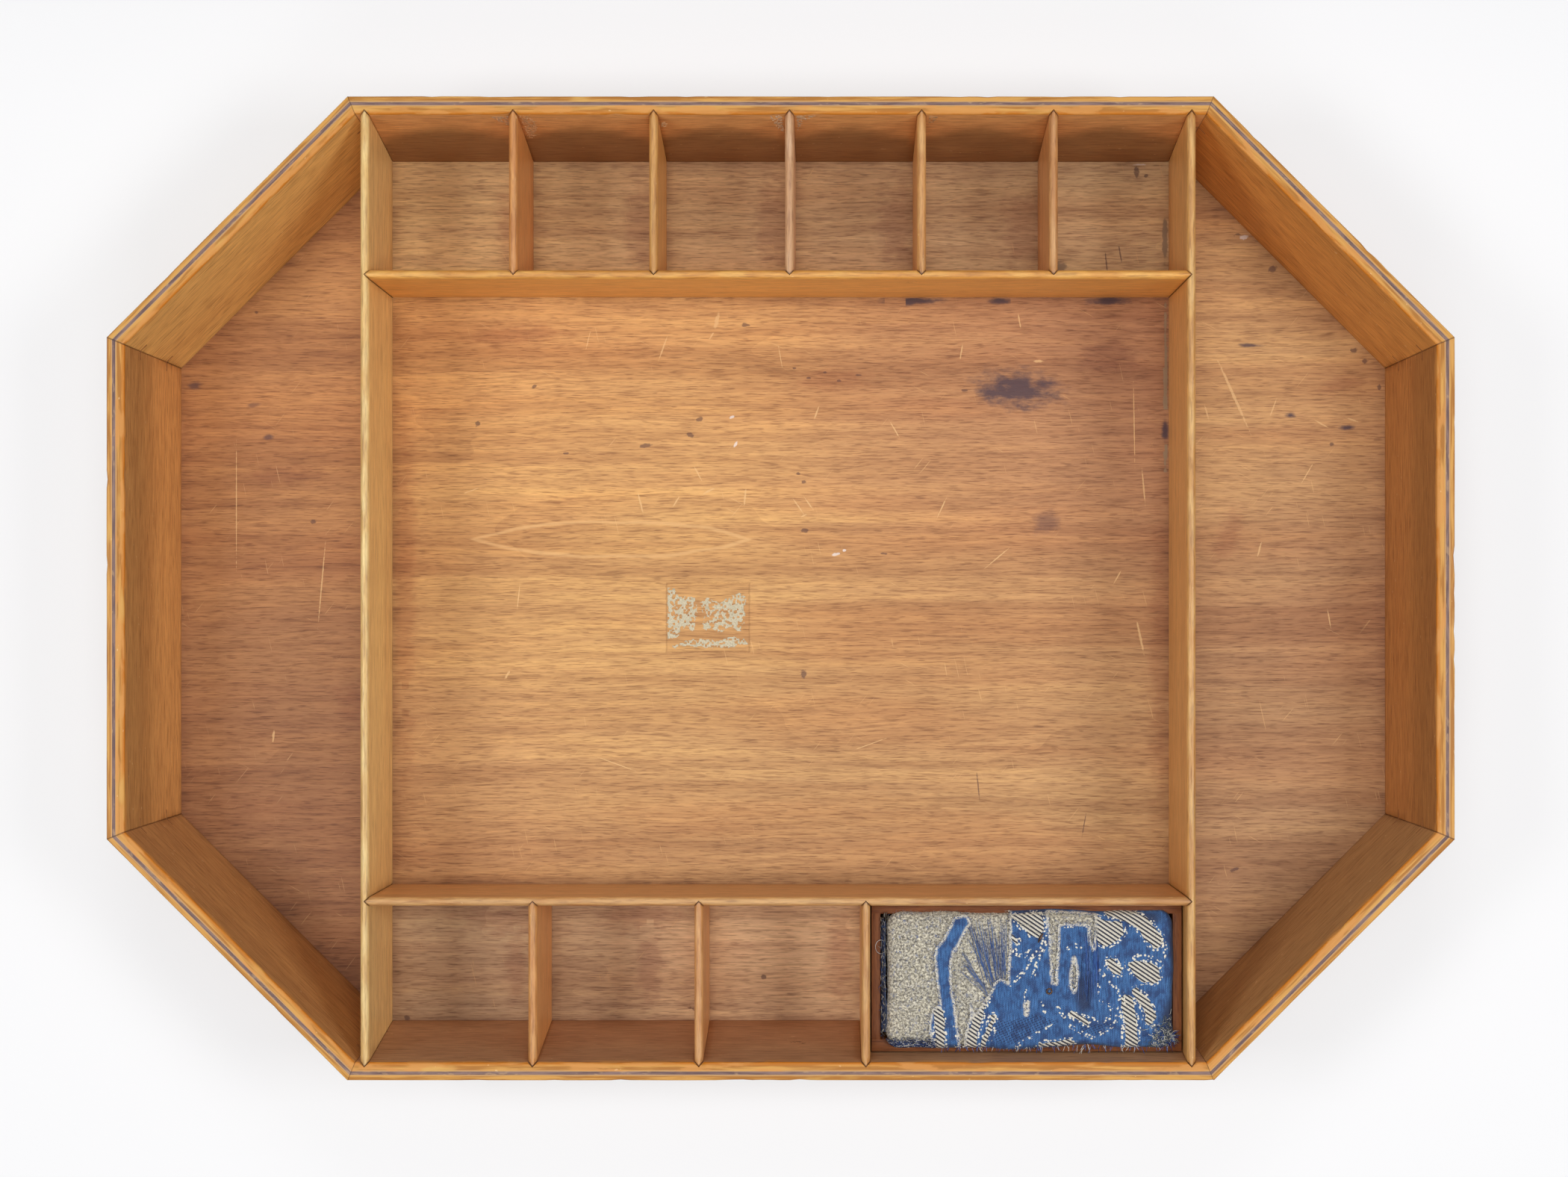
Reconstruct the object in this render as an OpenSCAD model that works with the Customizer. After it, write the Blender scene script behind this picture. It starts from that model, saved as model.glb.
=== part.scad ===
// Eight-sided sewing tray of thin plywood, with fixed partitions and a lift-out pincushion box.
// Millimetres. X is the long axis, +Y points to the row of six cells and +Z is up.
// The origin is the middle of the underside, on the surface that the tray stands on.

/* [Tray] */
// Length over the rim, along X
rim_l = 459; // [440:1:500]
// Width over the rim, along Y
rim_w = 335; // [330:1:360]
// Reach of each cut-off corner along both rims
corner_cut = 82; // [70:1:90]
// Height over all
tray_h = 55; // [48:1:70]
// Lean of every wall away from upright, in degrees
wall_lean = 8; // [4:0.5:9]

/* [Wall plies] */
// Thickness of the pale outer ply
outer_ply_t = 2.1; // [1.5:0.1:3]
// Thickness of the dark ply in the middle
core_ply_t = 1.1; // [0.6:0.1:1.5]
// Thickness of the golden inner ply
inner_ply_t = 3.1; // [2.8:0.1:4]

/* [Base panel] */
// Thickness of the veneer on each side
base_veneer_t = 1; // [0.6:0.1:1.5]
// Thickness of the middle ply
base_middle_t = 2; // [1:0.1:4]

/* [Partitions] */
// Thickness of every partition
divider_t = 3; // [2:0.1:4]
// How far the partitions stop below the rim
divider_drop = 0.5; // [0:0.1:3]
// Slack round the pointed ends in their grooves
groove_slack = 0.3; // [0.1:0.1:0.6]
// Place of the left cross partition along X
cross_left_x = -141.7; // [-143:0.1:-120]
// Place of the right cross partition along X
cross_right_x = 139.9; // [138:0.1:142]
// Place of the partition in front of the back cells, along Y
back_row_y = 106.9; // [90:0.1:120]
// Place of the partition behind the front cells, along Y
front_row_y = -106.6; // [-108:0.1:-105]

/* [Corner keys] */
// Thickness of the veneer keys across the mitres
key_t = 0.8; // [0.5:0.1:1.2]
// How far a key reaches past the inner corner
key_reach = 1.2; // [1:0.1:4]

/* [Brads] */
// Diameter of a brad
brad_d = 1.2; // [0.8:0.1:1.4]
// Length of a brad
brad_l = 12.5; // [8:0.5:13]

/* [Pincushion box] */
// Thickness of the back strip and of the two end strips
strip_t = 3; // [2.5:0.1:4]
// Thickness of the front strip
front_strip_t = 4; // [3:0.1:5]
// Thickness of the bottom board
board_t = 3; // [2:0.1:4]
// How far the strips stop below the rim
strip_drop = 11; // [8:0.5:16]
// Gap between the box and its cell
box_gap = 0.6; // [0.4:0.1:1.5]
// Rise of the cushion's crown above its edges
crown = 4; // [2:0.5:6]

/* [Hidden] */
$fn = 48;
// Partitions between the six back cells and between the front cells, along X
back_cell_x = [-91.1, -43.3, 3, 48, 92.9];
front_cell_x = [-84.5, -27.9, 29];
CROSS_X = [cross_left_x, cross_right_x];

wall_t = outer_ply_t + core_ply_t + inner_ply_t;
base_t = base_middle_t + 2 * base_veneer_t;
slope = tan(wall_lean);
half_turn = 22.5;                         // half of the 45 degree turn at each corner
far = 600;                                // longer than anything in the tray
rim_inner_y = rim_w / 2 - wall_t;
divider_top = tray_h - divider_drop;
groove_depth = divider_t / 2;

// Each wall: name, middle of its outer rim edge, direction that it faces, length of that edge
WALLS = [
    ["back_wall", [0, rim_w / 2], 90, rim_l - 2 * corner_cut],
    ["front_wall", [0, -rim_w / 2], -90, rim_l - 2 * corner_cut],
    ["right_wall", [rim_l / 2, 0], 0, rim_w - 2 * corner_cut],
    ["left_wall", [-rim_l / 2, 0], 180, rim_w - 2 * corner_cut],
    ["back_right_wall", [1, 1], 45, corner_cut * sqrt(2)],
    ["back_left_wall", [-1, 1], 135, corner_cut * sqrt(2)],
    ["front_right_wall", [1, -1], -45, corner_cut * sqrt(2)],
    ["front_left_wall", [-1, -1], -135, corner_cut * sqrt(2)]
];
corner_mid = [rim_l / 2 - corner_cut / 2, rim_w / 2 - corner_cut / 2];

// Each ply of a wall: name, depth of its two faces behind the outer face, colour
PLIES = [
    ["outer_ply", 0, outer_ply_t, "burlywood"],
    ["core_ply", outer_ply_t, outer_ply_t + core_ply_t, "dimgray"],
    ["inner_ply", outer_ply_t + core_ply_t, wall_t, "peru"]
];

// Each ply of the base: name, underside, thickness, colour
BASE_PLIES = [
    ["base_bottom_ply", 0, base_veneer_t, "tan"],
    ["base_middle_ply", base_veneer_t, base_middle_t, "burlywood"],
    ["base_top_ply", base_veneer_t + base_middle_t, base_veneer_t, "peru"]
];

// How far a leaning face has moved inward from the rim, at height z
function inset(z) = slope * (tray_h - z);

// The middle of a wall's outer rim edge: the cut-off corners state only their signs
function rim_mid(wall) = wall[2] % 90 == 0 ? wall[1]
    : [wall[1][0] * corner_mid[0], wall[1][1] * corner_mid[1]];

// Draws in a wall's own frame: x runs along it, y points outward from the rim edge
module on_wall(wall) {
    translate(rim_mid(wall)) rotate([0, 0, wall[2] - 90]) children();
}

// A leaning slab along x, between two depths behind the outer face
module leaning_slab(near, reach, length) {
    foot = inset(base_t);
    rotate([90, 0, 90])
        linear_extrude(length, center = true)
            polygon([[-near, tray_h], [-reach, tray_h], [-reach - foot, base_t], [-near - foot, base_t]]);
}

// The plan of one wall, between the mitres at its two ends
module mitred_plan(length) {
    out = 2;
    in = 30;
    run = tan(half_turn);
    polygon([
        [-length / 2 - out * run, out], [length / 2 + out * run, out],
        [length / 2 - in * run, -in], [-length / 2 + in * run, -in]
    ]);
}

// A leaning slab cut off at the mitres of its wall
module mitred_slab(wall, near, reach) {
    intersection() {
        leaning_slab(near, reach, far);
        linear_extrude(tray_h) mitred_plan(wall[3]);
    }
}

// Heights of the two keys at each corner
function key_heights() = [for (share = [0.27, 0.73]) base_t + share * (tray_h - base_t)];

// Distance from the outer corner to the straight inner edge of a key
key_depth = wall_t / cos(half_turn) + key_reach;

// The saw cuts that take the corner keys, at both ends of a wall
module key_cuts(length) {
    for (end = [0, 1]) mirror([end, 0, 0])
        for (z = key_heights())
            translate([length / 2 - inset(z) * tan(half_turn), -inset(z), z])
                rotate([0, 0, 270 - half_turn])
                    translate([-20, -50, -key_t / 2])
                        cube([20 + key_depth, 100, key_t]);
}

// One ply of one wall, with its grooves, saw cuts and brad holes
module wall_ply(wall, ply) {
    color(ply[3])
        difference() {
            on_wall(wall) difference() {
                mitred_slab(wall, ply[1], ply[2]);
                key_cuts(wall[3]);
                if (ply[0] == "inner_ply") brads_on(wall, false);
            }
            if (ply[0] == "inner_ply" && wall[0] == "back_wall")
                wall_grooves(concat(back_cell_x, CROSS_X));
            if (ply[0] == "inner_ply" && wall[0] == "front_wall")
                mirror([0, 1, 0]) wall_grooves(concat(front_cell_x, CROSS_X));
        }
}

// A post with a pointed front, its tip on the z axis and its body towards -y
module pointed_post() {
    side = 2 * divider_t;
    linear_extrude(far, center = true)
        polygon([[-side, -far], [side, -far], [side, -side], [0, 0], [-side, -side]]);
}

// The same post leaning with the back wall, its tip at the bottom of that wall's groove
module wall_end() {
    translate([0, rim_inner_y + groove_depth, tray_h]) rotate([-wall_lean, 0, 0]) pointed_post();
}

// Grooves in the back wall for the partitions that end there
module wall_grooves(places) {
    for (x = places)
        translate([x, groove_slack, 0]) intersection() {
            wall_end();
            cube([divider_t + 2 * groove_slack, far, far], center = true);
        }
}

// A board with a round top edge, standing on the base and running along y
module round_top_board() {
    rotate([90, 0, 0])
        linear_extrude(far, center = true) {
            translate([-divider_t / 2, base_t]) square([divider_t, divider_top - divider_t / 2 - base_t]);
            translate([0, divider_top - divider_t / 2]) circle(d = divider_t);
        }
}

// A partition from the back wall to the front wall, grooved on one side for the row partitions
module cross_divider(x, groove_side) {
    color("goldenrod")
        difference() {
            translate([x, 0, 0]) intersection() {
                round_top_board();
                wall_end();
                mirror([0, 1, 0]) wall_end();
            }
            for (y = [back_row_y, front_row_y])
                translate([x - groove_side * groove_slack, y, 0])
                    rotate([0, 0, groove_side * 90]) pointed_post();
        }
}

// A partition between the two cross partitions, grooved for its cell partitions
module row_divider(y, cells, groove_side) {
    color("goldenrod")
        difference() {
            intersection() {
                translate([0, y, 0]) rotate([0, 0, 90]) round_top_board();
                translate([cross_right_x, y, 0]) rotate([0, 0, -90]) pointed_post();
                translate([cross_left_x, y, 0]) rotate([0, 0, 90]) pointed_post();
            }
            for (x = cells)
                translate([x, y - groove_side * groove_slack, 0])
                    rotate([0, 0, groove_side > 0 ? 180 : 0]) pointed_post();
        }
}

// A short partition from the back wall to the row partition in front of it
module back_cell_divider(x) {
    color("goldenrod")
        translate([x, 0, 0]) intersection() {
            round_top_board();
            wall_end();
            translate([0, back_row_y, 0]) rotate([0, 0, 180]) pointed_post();
        }
}

// A short partition from the front wall to the row partition behind it
module front_cell_divider(x) {
    color("goldenrod")
        translate([x, 0, 0]) intersection() {
            round_top_board();
            mirror([0, 1, 0]) wall_end();
            translate([0, front_row_y, 0]) pointed_post();
        }
}

// The outline of the tray, moved inward by some distance
module tray_plan(inward) {
    x = rim_l / 2 - inward;
    y = rim_w / 2 - inward;
    cut = corner_cut - inward * (2 - sqrt(2));
    polygon([
        [x, y - cut], [x - cut, y], [-x + cut, y], [-x, y - cut],
        [-x, -y + cut], [-x + cut, -y], [x - cut, -y], [x, -y + cut]
    ]);
}

// One ply of the base, drilled for the brads
module base_ply(ply) {
    color(ply[3])
        difference() {
            translate([0, 0, ply[1]]) linear_extrude(ply[2]) tray_plan(inset(base_t));
            for (wall = WALLS) on_wall(wall) brads_on(wall, true);
        }
}

// One brad: a flat head let into the underside and a straight shank
module brad() {
    head_d = 2 * brad_d;
    head_t = 0.6;
    sunk = 0.2;
    translate([0, 0, sunk]) cylinder(d = head_d, h = head_t);
    translate([0, 0, sunk]) cylinder(d = brad_d, h = brad_l);
}

// The brads of one wall, in its own frame. With open heads they also clear the head's own sinking.
module brads_on(wall, open_heads) {
    count = max(2, round(wall[3] / 50));
    from_end = 25;
    step = (wall[3] - 2 * from_end) / (count - 1);
    depth = outer_ply_t + core_ply_t + brad_d / 2 + 0.15;
    for (i = [0 : count - 1])
        translate([-wall[3] / 2 + from_end + i * step, -inset(base_t) - depth, 0]) {
            brad();
            if (open_heads) translate([0, 0, -1]) cylinder(d = 2 * brad_d, h = 1.5);
        }
}

// The brads that hold the base to the walls
module base_brads() {
    color("dimgray") for (wall = WALLS) on_wall(wall) brads_on(wall, false);
}

// One veneer key, its point at the outer corner and its straight edge inside
module corner_key() {
    inner_corner = wall_t / cos(half_turn);
    spread = 1 / tan(half_turn);
    translate([0, 0, -key_t / 2])
        linear_extrude(key_t)
            polygon([
                [0, 0], [key_depth, key_depth * spread], [key_depth, key_reach * spread],
                [inner_corner, 0], [key_depth, -key_reach * spread], [key_depth, -key_depth * spread]
            ]);
}

// Two keys across each of the eight mitres, notched where a cross partition ends beside them
module corner_keys() {
    long_corner = [rim_l / 2 - corner_cut, rim_w / 2, 90 - half_turn];
    short_corner = [rim_l / 2, rim_w / 2 - corner_cut, half_turn];
    color("sienna")
        difference() {
            for (mx = [0, 1]) for (my = [0, 1]) mirror([mx, 0, 0]) mirror([0, my, 0])
                for (corner = [long_corner, short_corner]) for (z = key_heights())
                    translate([corner[0], corner[1], z])
                        rotate([0, 0, corner[2] + 180])
                            translate([inset(z) / cos(half_turn), 0, 0])
                                corner_key();
            for (side = [0, 1]) mirror([0, side, 0]) wall_grooves(CROSS_X);
        }
}

// A torn scrap of paper stuck to the middle of the floor
module paper_label_scrap() {
    label = [30, 25, 0.12];
    color("silver") translate([-42, -22, base_t]) cube(label);
}

// Inner face of the leaning front wall at height z, with the box's gap kept free of it
function box_front_y(z) = -rim_inner_y + inset(z) + box_gap;

box_left = front_cell_x[2] + divider_t / 2 + box_gap;
box_right = cross_right_x - divider_t / 2 - box_gap;
box_back = front_row_y - divider_t / 2 - box_gap;
box_top = tray_h - strip_drop;
board_top = base_t + board_t;

// A block along x whose front leans with the wall: front and back are moved inward from the box
module leaning_block(x_from, x_to, from_back, from_front, z_from, z_to) {
    translate([x_from, 0, 0])
        rotate([90, 0, 90])
            linear_extrude(x_to - x_from)
                polygon([
                    [box_back - from_back, z_from], [box_back - from_back, z_to],
                    [box_front_y(z_to) + from_front, z_to], [box_front_y(z_from) + from_front, z_from]
                ]);
}

// Long strip of the box along the row partition
module box_back_strip() {
    color("saddlebrown")
        difference() {
            translate([box_left, box_back - strip_t, base_t])
                cube([box_right - box_left, strip_t, box_top - base_t]);
            box_nails();
        }
}

// Long strip of the box along the leaning front wall
module box_front_strip() {
    color("saddlebrown")
        difference() {
            leaning_block(box_left, box_right, 0, 0, base_t, box_top);
            leaning_block(box_left - 1, box_right + 1, -1, front_strip_t, base_t - 1, box_top + 1);
            box_nails();
        }
}

// Short strip between the two long ones, at one end of the box
module end_strip(x) {
    color("saddlebrown")
        difference() {
            leaning_block(x, x + strip_t, strip_t, front_strip_t, base_t, box_top);
            box_nails();
        }
}

// Board that closes the box's underside, between the four strips
module box_bottom_board() {
    color("saddlebrown")
        leaning_block(box_left + strip_t, box_right - strip_t, strip_t, front_strip_t, base_t, board_top);
}

// Nails through the long strips into the ends of the short ones, two at each corner
module box_nails() {
    nail_d = 1;
    nail_l = 11;
    color("gray")
        for (x = [box_left + strip_t / 2, box_right - strip_t / 2])
            for (share = [0.25, 0.75]) {
                z = base_t + share * (box_top - base_t);
                translate([x, box_back, z]) rotate([90, 0, 0]) cylinder(d = nail_d, h = nail_l);
                translate([x, box_front_y(z) + 0.1, z]) rotate([-90, 0, 0]) cylinder(d = nail_d, h = nail_l);
            }
}

cushion_room = 1.2;                       // between the cushion's sides and the strips

// The cushion's block, smaller by some margin on its sides and top, with a crown both ways
module crowned_block(margin, z_from) {
    x_mid = (box_left + box_right) / 2;
    x_half = (box_right - box_left) / 2 - strip_t - cushion_room;
    y_back = box_back - strip_t - cushion_room;
    y_front = box_front_y(box_top) + front_strip_t + cushion_room;
    y_mid = (y_back + y_front) / 2;
    y_half = (y_back - y_front) / 2;
    edge_z = box_top - 1.5;
    top = edge_z + crown - margin;
    x_bend = (x_half * x_half + crown * crown / 4) / crown;
    y_bend = (y_half * y_half + crown * crown / 4) / crown;
    intersection() {
        leaning_block(x_mid - x_half + margin, x_mid + x_half - margin,
            strip_t + cushion_room + margin, front_strip_t + cushion_room + margin, z_from, top + 1);
        translate([x_mid, 0, top - x_bend])
            rotate([90, 0, 0]) cylinder(r = x_bend, h = far, center = true, $fn = 96);
        translate([0, y_mid, top - y_bend])
            rotate([0, 90, 0]) cylinder(r = y_bend, h = far, center = true, $fn = 96);
    }
}

brocade_t = 0.8;
wool_t = 1.4;
skirt_z = box_top - 14;                   // lower edge of the covers, tucked inside the box
brocade_from_x = box_left + 25;
pin_at = [92, -138];

// Hair or tow that fills the box
module cushion_stuffing() {
    color("wheat")
        difference() {
            crowned_block(brocade_t + wool_t, board_top);
            stuck_pin();
        }
}

// Grey wool cloth stretched over the stuffing
module wool_cover() {
    color("darkgray")
        difference() {
            crowned_block(brocade_t, skirt_z);
            crowned_block(brocade_t + wool_t, skirt_z - 1);
            stuck_pin();
        }
}

// Blue and white brocade over the right part of the cushion
module brocade_cover() {
    color("royalblue")
        difference() {
            crowned_block(0, skirt_z);
            crowned_block(brocade_t, skirt_z - 1);
            translate([brocade_from_x - far, -far / 2, 0]) cube([far, far, far]);
            stuck_pin();
        }
}

// Torn strip of the same brocade, standing between the cushion and the box's left strip
module brocade_remnant() {
    from_strip = 0.3;
    from_ends = 2.5;
    color("midnightblue")
        leaning_block(box_left + strip_t + from_strip, box_left + strip_t + from_strip + brocade_t,
            strip_t + from_ends, front_strip_t + from_ends, skirt_z, box_top - 0.5);
}

// A pin pushed into the cushion up to its head
module stuck_pin() {
    pin_d = 0.7;
    head_d = 1.6;
    head_z = box_top + crown - 1.2;
    pin_l = 26;
    color("silver") translate([pin_at[0], pin_at[1], head_z]) {
        sphere(d = head_d, $fn = 24);
        translate([0, 0, -pin_l]) cylinder(d = pin_d, h = pin_l);
    }
}

for (wall = WALLS) for (ply = PLIES)
    wall_ply(wall, ply);
for (ply = BASE_PLIES)
    base_ply(ply);
cross_divider(cross_left_x, 1);  // left_cross_divider
cross_divider(cross_right_x, -1);  // right_cross_divider
row_divider(back_row_y, back_cell_x, 1);  // back_row_divider
row_divider(front_row_y, front_cell_x, -1);  // front_row_divider
for (i = [0 : len(back_cell_x) - 1])
    back_cell_divider(back_cell_x[i]);
for (i = [0 : len(front_cell_x) - 1])
    front_cell_divider(front_cell_x[i]);
corner_keys();
base_brads();
paper_label_scrap();
box_back_strip();
box_front_strip();
end_strip(box_left);  // box_left_strip
end_strip(box_right - strip_t);  // box_right_strip
box_bottom_board();
box_nails();
cushion_stuffing();
wool_cover();
brocade_cover();
brocade_remnant();
stuck_pin();
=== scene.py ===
"""An old eight-sided sewing tray of thin varnished plywood, with fixed partitions and a worn pincushion.

Everything is in metres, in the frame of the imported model: X along the tray, +Y towards the row of six
cells, +Z up, and the tray stands on z = 0.
"""

import math

import bmesh
import bpy
import numpy as np
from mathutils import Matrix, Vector, noise


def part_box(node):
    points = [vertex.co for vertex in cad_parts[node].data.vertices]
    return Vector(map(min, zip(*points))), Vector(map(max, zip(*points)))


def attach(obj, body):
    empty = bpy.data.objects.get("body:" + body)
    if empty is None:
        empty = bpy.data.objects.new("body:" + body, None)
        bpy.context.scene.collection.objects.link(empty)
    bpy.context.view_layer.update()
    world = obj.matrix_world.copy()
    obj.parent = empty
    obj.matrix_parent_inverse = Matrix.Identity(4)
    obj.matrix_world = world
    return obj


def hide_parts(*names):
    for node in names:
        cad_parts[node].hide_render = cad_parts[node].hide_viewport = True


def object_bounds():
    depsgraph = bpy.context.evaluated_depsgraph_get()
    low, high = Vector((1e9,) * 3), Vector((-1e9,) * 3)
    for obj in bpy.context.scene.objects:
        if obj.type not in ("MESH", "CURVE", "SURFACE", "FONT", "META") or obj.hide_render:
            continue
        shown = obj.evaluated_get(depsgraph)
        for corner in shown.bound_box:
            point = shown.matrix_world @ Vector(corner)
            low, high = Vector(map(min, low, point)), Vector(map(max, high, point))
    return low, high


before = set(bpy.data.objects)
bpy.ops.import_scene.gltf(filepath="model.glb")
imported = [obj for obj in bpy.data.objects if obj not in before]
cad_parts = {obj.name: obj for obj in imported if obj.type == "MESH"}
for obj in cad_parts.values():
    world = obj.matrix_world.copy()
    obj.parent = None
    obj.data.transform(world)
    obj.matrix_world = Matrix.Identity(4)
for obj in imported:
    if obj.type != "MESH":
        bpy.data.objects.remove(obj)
cad_low, cad_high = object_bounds()

MM = 0.001
RIM_Z = cad_high.z
FLOOR_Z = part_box("base_top_ply")[1].z
WALL_HEIGHT = RIM_Z - FLOOR_Z             # from the floor to the rim
WALL_LEAN = math.radians(8)
WALL_T = 6.3 * MM                         # all three plies, measured level
HALF_TURN = math.radians(22.5)            # half of the turn at each corner of the tray
PLIES = ("outer_ply", "core_ply", "inner_ply")

# Each wall: the direction that it faces in degrees, its colour, and how much painted shade darkens or
# painted light brightens its inner face low down and high up. The colours differ from wall to wall partly as
# painted light and shade.
WALLS = {
    "back_wall": (90, (208, 149, 91), (0.50, 1.10)),
    "front_wall": (-90, (178, 134, 97), (1.10, 0.98)),
    "right_wall": (0, (168, 114, 62), (1.26, 0.95)),
    "left_wall": (180, (192, 140, 83), (1.30, 0.92)),
    "back_right_wall": (45, (205, 141, 72), (1, 1)),
    "back_left_wall": (135, (223, 173, 102), (1, 1)),
    "front_right_wall": (-45, (170, 127, 81), (1, 1)),
    "front_left_wall": (-135, (180, 129, 79), (1, 1)),
}
# Colours of the long partitions, then of the short ones: back cells first, each row from left to right; they
# differ partly as painted light and shade
LONG_PARTITIONS = {
    "left_cross_divider": (244, 205, 133), "right_cross_divider": (223, 168, 98),
    "back_row_divider": (243, 177, 87), "front_row_divider": (213, 158, 98),
}
CELL_TINTS = (
    (224, 156, 88), (222, 164, 90), (226, 178, 134), (222, 162, 96), (214, 154, 94), (226, 162, 94),
    (222, 160, 98), (218, 162, 96),
)
BOX_TINT = (122, 71, 34)
MARK_STRENGTH = 0.68                      # how clearly the scratches and spots on the floor show


def srgb(red, green, blue):
    """A colour given as 0 to 255 on a screen, as linear red, green, blue and alpha."""
    channels = [c / 255 for c in (red, green, blue)]
    return [c / 12.92 if c <= 0.04045 else ((c + 0.055) / 1.055) ** 2.4 for c in channels] + [1.0]


# ---------------------------------------------------------------- materials


class Surface:
    """A material with one Principled shader, and short ways to add the nodes that feed it."""

    def __init__(self, name, **settings):
        self.material = bpy.data.materials.new(name)
        self.material.use_nodes = True
        self.tree = self.material.node_tree
        self.shader = self.tree.nodes["Principled BSDF"]
        for socket, value in settings.items():
            self.shader.inputs[socket.replace("_", " ")].default_value = value

    def node(self, kind, inputs=(), out=0, **settings):
        made = self.tree.nodes.new(kind)
        for key, value in settings.items():
            setattr(made, key, value)
        for socket, value in dict(inputs).items():
            if isinstance(value, bpy.types.NodeSocket):
                self.tree.links.new(value, made.inputs[socket])
            else:
                made.inputs[socket].default_value = value
        return made.outputs[out]

    def attribute(self, name, out="Vector"):
        return self.node("ShaderNodeAttribute", attribute_name=name, out=out)

    def split(self, vector):
        parts = self.node("ShaderNodeSeparateXYZ", {0: vector}).node
        return parts.outputs[0], parts.outputs[1], parts.outputs[2]

    def scaled(self, vector, scale):
        return self.node("ShaderNodeVectorMath", {0: vector, 1: scale}, operation="MULTIPLY")

    def moved(self, vector, offset):
        return self.node("ShaderNodeVectorMath", {0: vector, 1: offset}, operation="ADD")

    def flat(self, u, v):
        return self.node("ShaderNodeCombineXYZ", {0: u, 1: v})

    def length(self, u, v):
        return self.node("ShaderNodeVectorMath", {0: self.flat(u, v)}, operation="LENGTH", out="Value")

    def own_place(self):
        """The point in the object's own coordinates, in metres."""
        return self.node("ShaderNodeTexCoord", out=3)

    def noise(self, vector, detail=2.0, roughness=0.5, distortion=0.0):
        sockets = {"Vector": vector, "Scale": 1.0, "Detail": detail, "Roughness": roughness,
                   "Distortion": distortion}
        return self.node("ShaderNodeTexNoise", sockets)

    def speckle(self, vector, scale, detail=2.0, roughness=0.5, distortion=0.0):
        """Noise that varies as often in each direction as the scale says."""
        return self.noise(self.scaled(vector, scale), detail, roughness, distortion)

    def math(self, operation, a, b=0.0):
        return self.node("ShaderNodeMath", {0: a, 1: b}, operation=operation)

    def gap(self, a, b):
        """How far apart two values are."""
        return self.math("ABSOLUTE", self.math("SUBTRACT", a, b))

    def jitter(self, value, noise, amount, low=0.2, high=0.8):
        """A value made uneven by a noise, by up to an amount either way."""
        return self.math("ADD", value, self.ramp(noise, low, high, -amount, amount, False))

    def ramp(self, value, low, high, to_low=0.0, to_high=1.0, smooth=True):
        kind = "SMOOTHSTEP" if smooth else "LINEAR"
        sockets = {0: value, 1: low, 2: high, 3: to_low, 4: to_high}
        return self.node("ShaderNodeMapRange", sockets, interpolation_type=kind)

    def mix(self, factor, a, b, blend="MIX"):
        sockets = {0: factor, 6: a, 7: b}
        return self.node("ShaderNodeMix", sockets, out=2, data_type="RGBA", blend_type=blend)

    def times(self, factor, colour, multiplier):
        """The colour multiplied, as far as the factor says."""
        return self.mix(factor, colour, list(multiplier) + [1.0], "MULTIPLY")

    def both(self, a, b):
        return self.math("MULTIPLY", a, b)

    def finish(self, colour, height=None, depth=0.00005, strength=1.0, roughness=None):
        self.tree.links.new(colour, self.shader.inputs["Base Color"])
        if roughness is not None:
            self.tree.links.new(roughness, self.shader.inputs["Roughness"])
        if height is not None:
            bump = self.node("ShaderNodeBump", {"Height": height, "Distance": depth, "Strength": strength})
            self.tree.links.new(bump, self.shader.inputs["Normal"])
        return self.material


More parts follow.
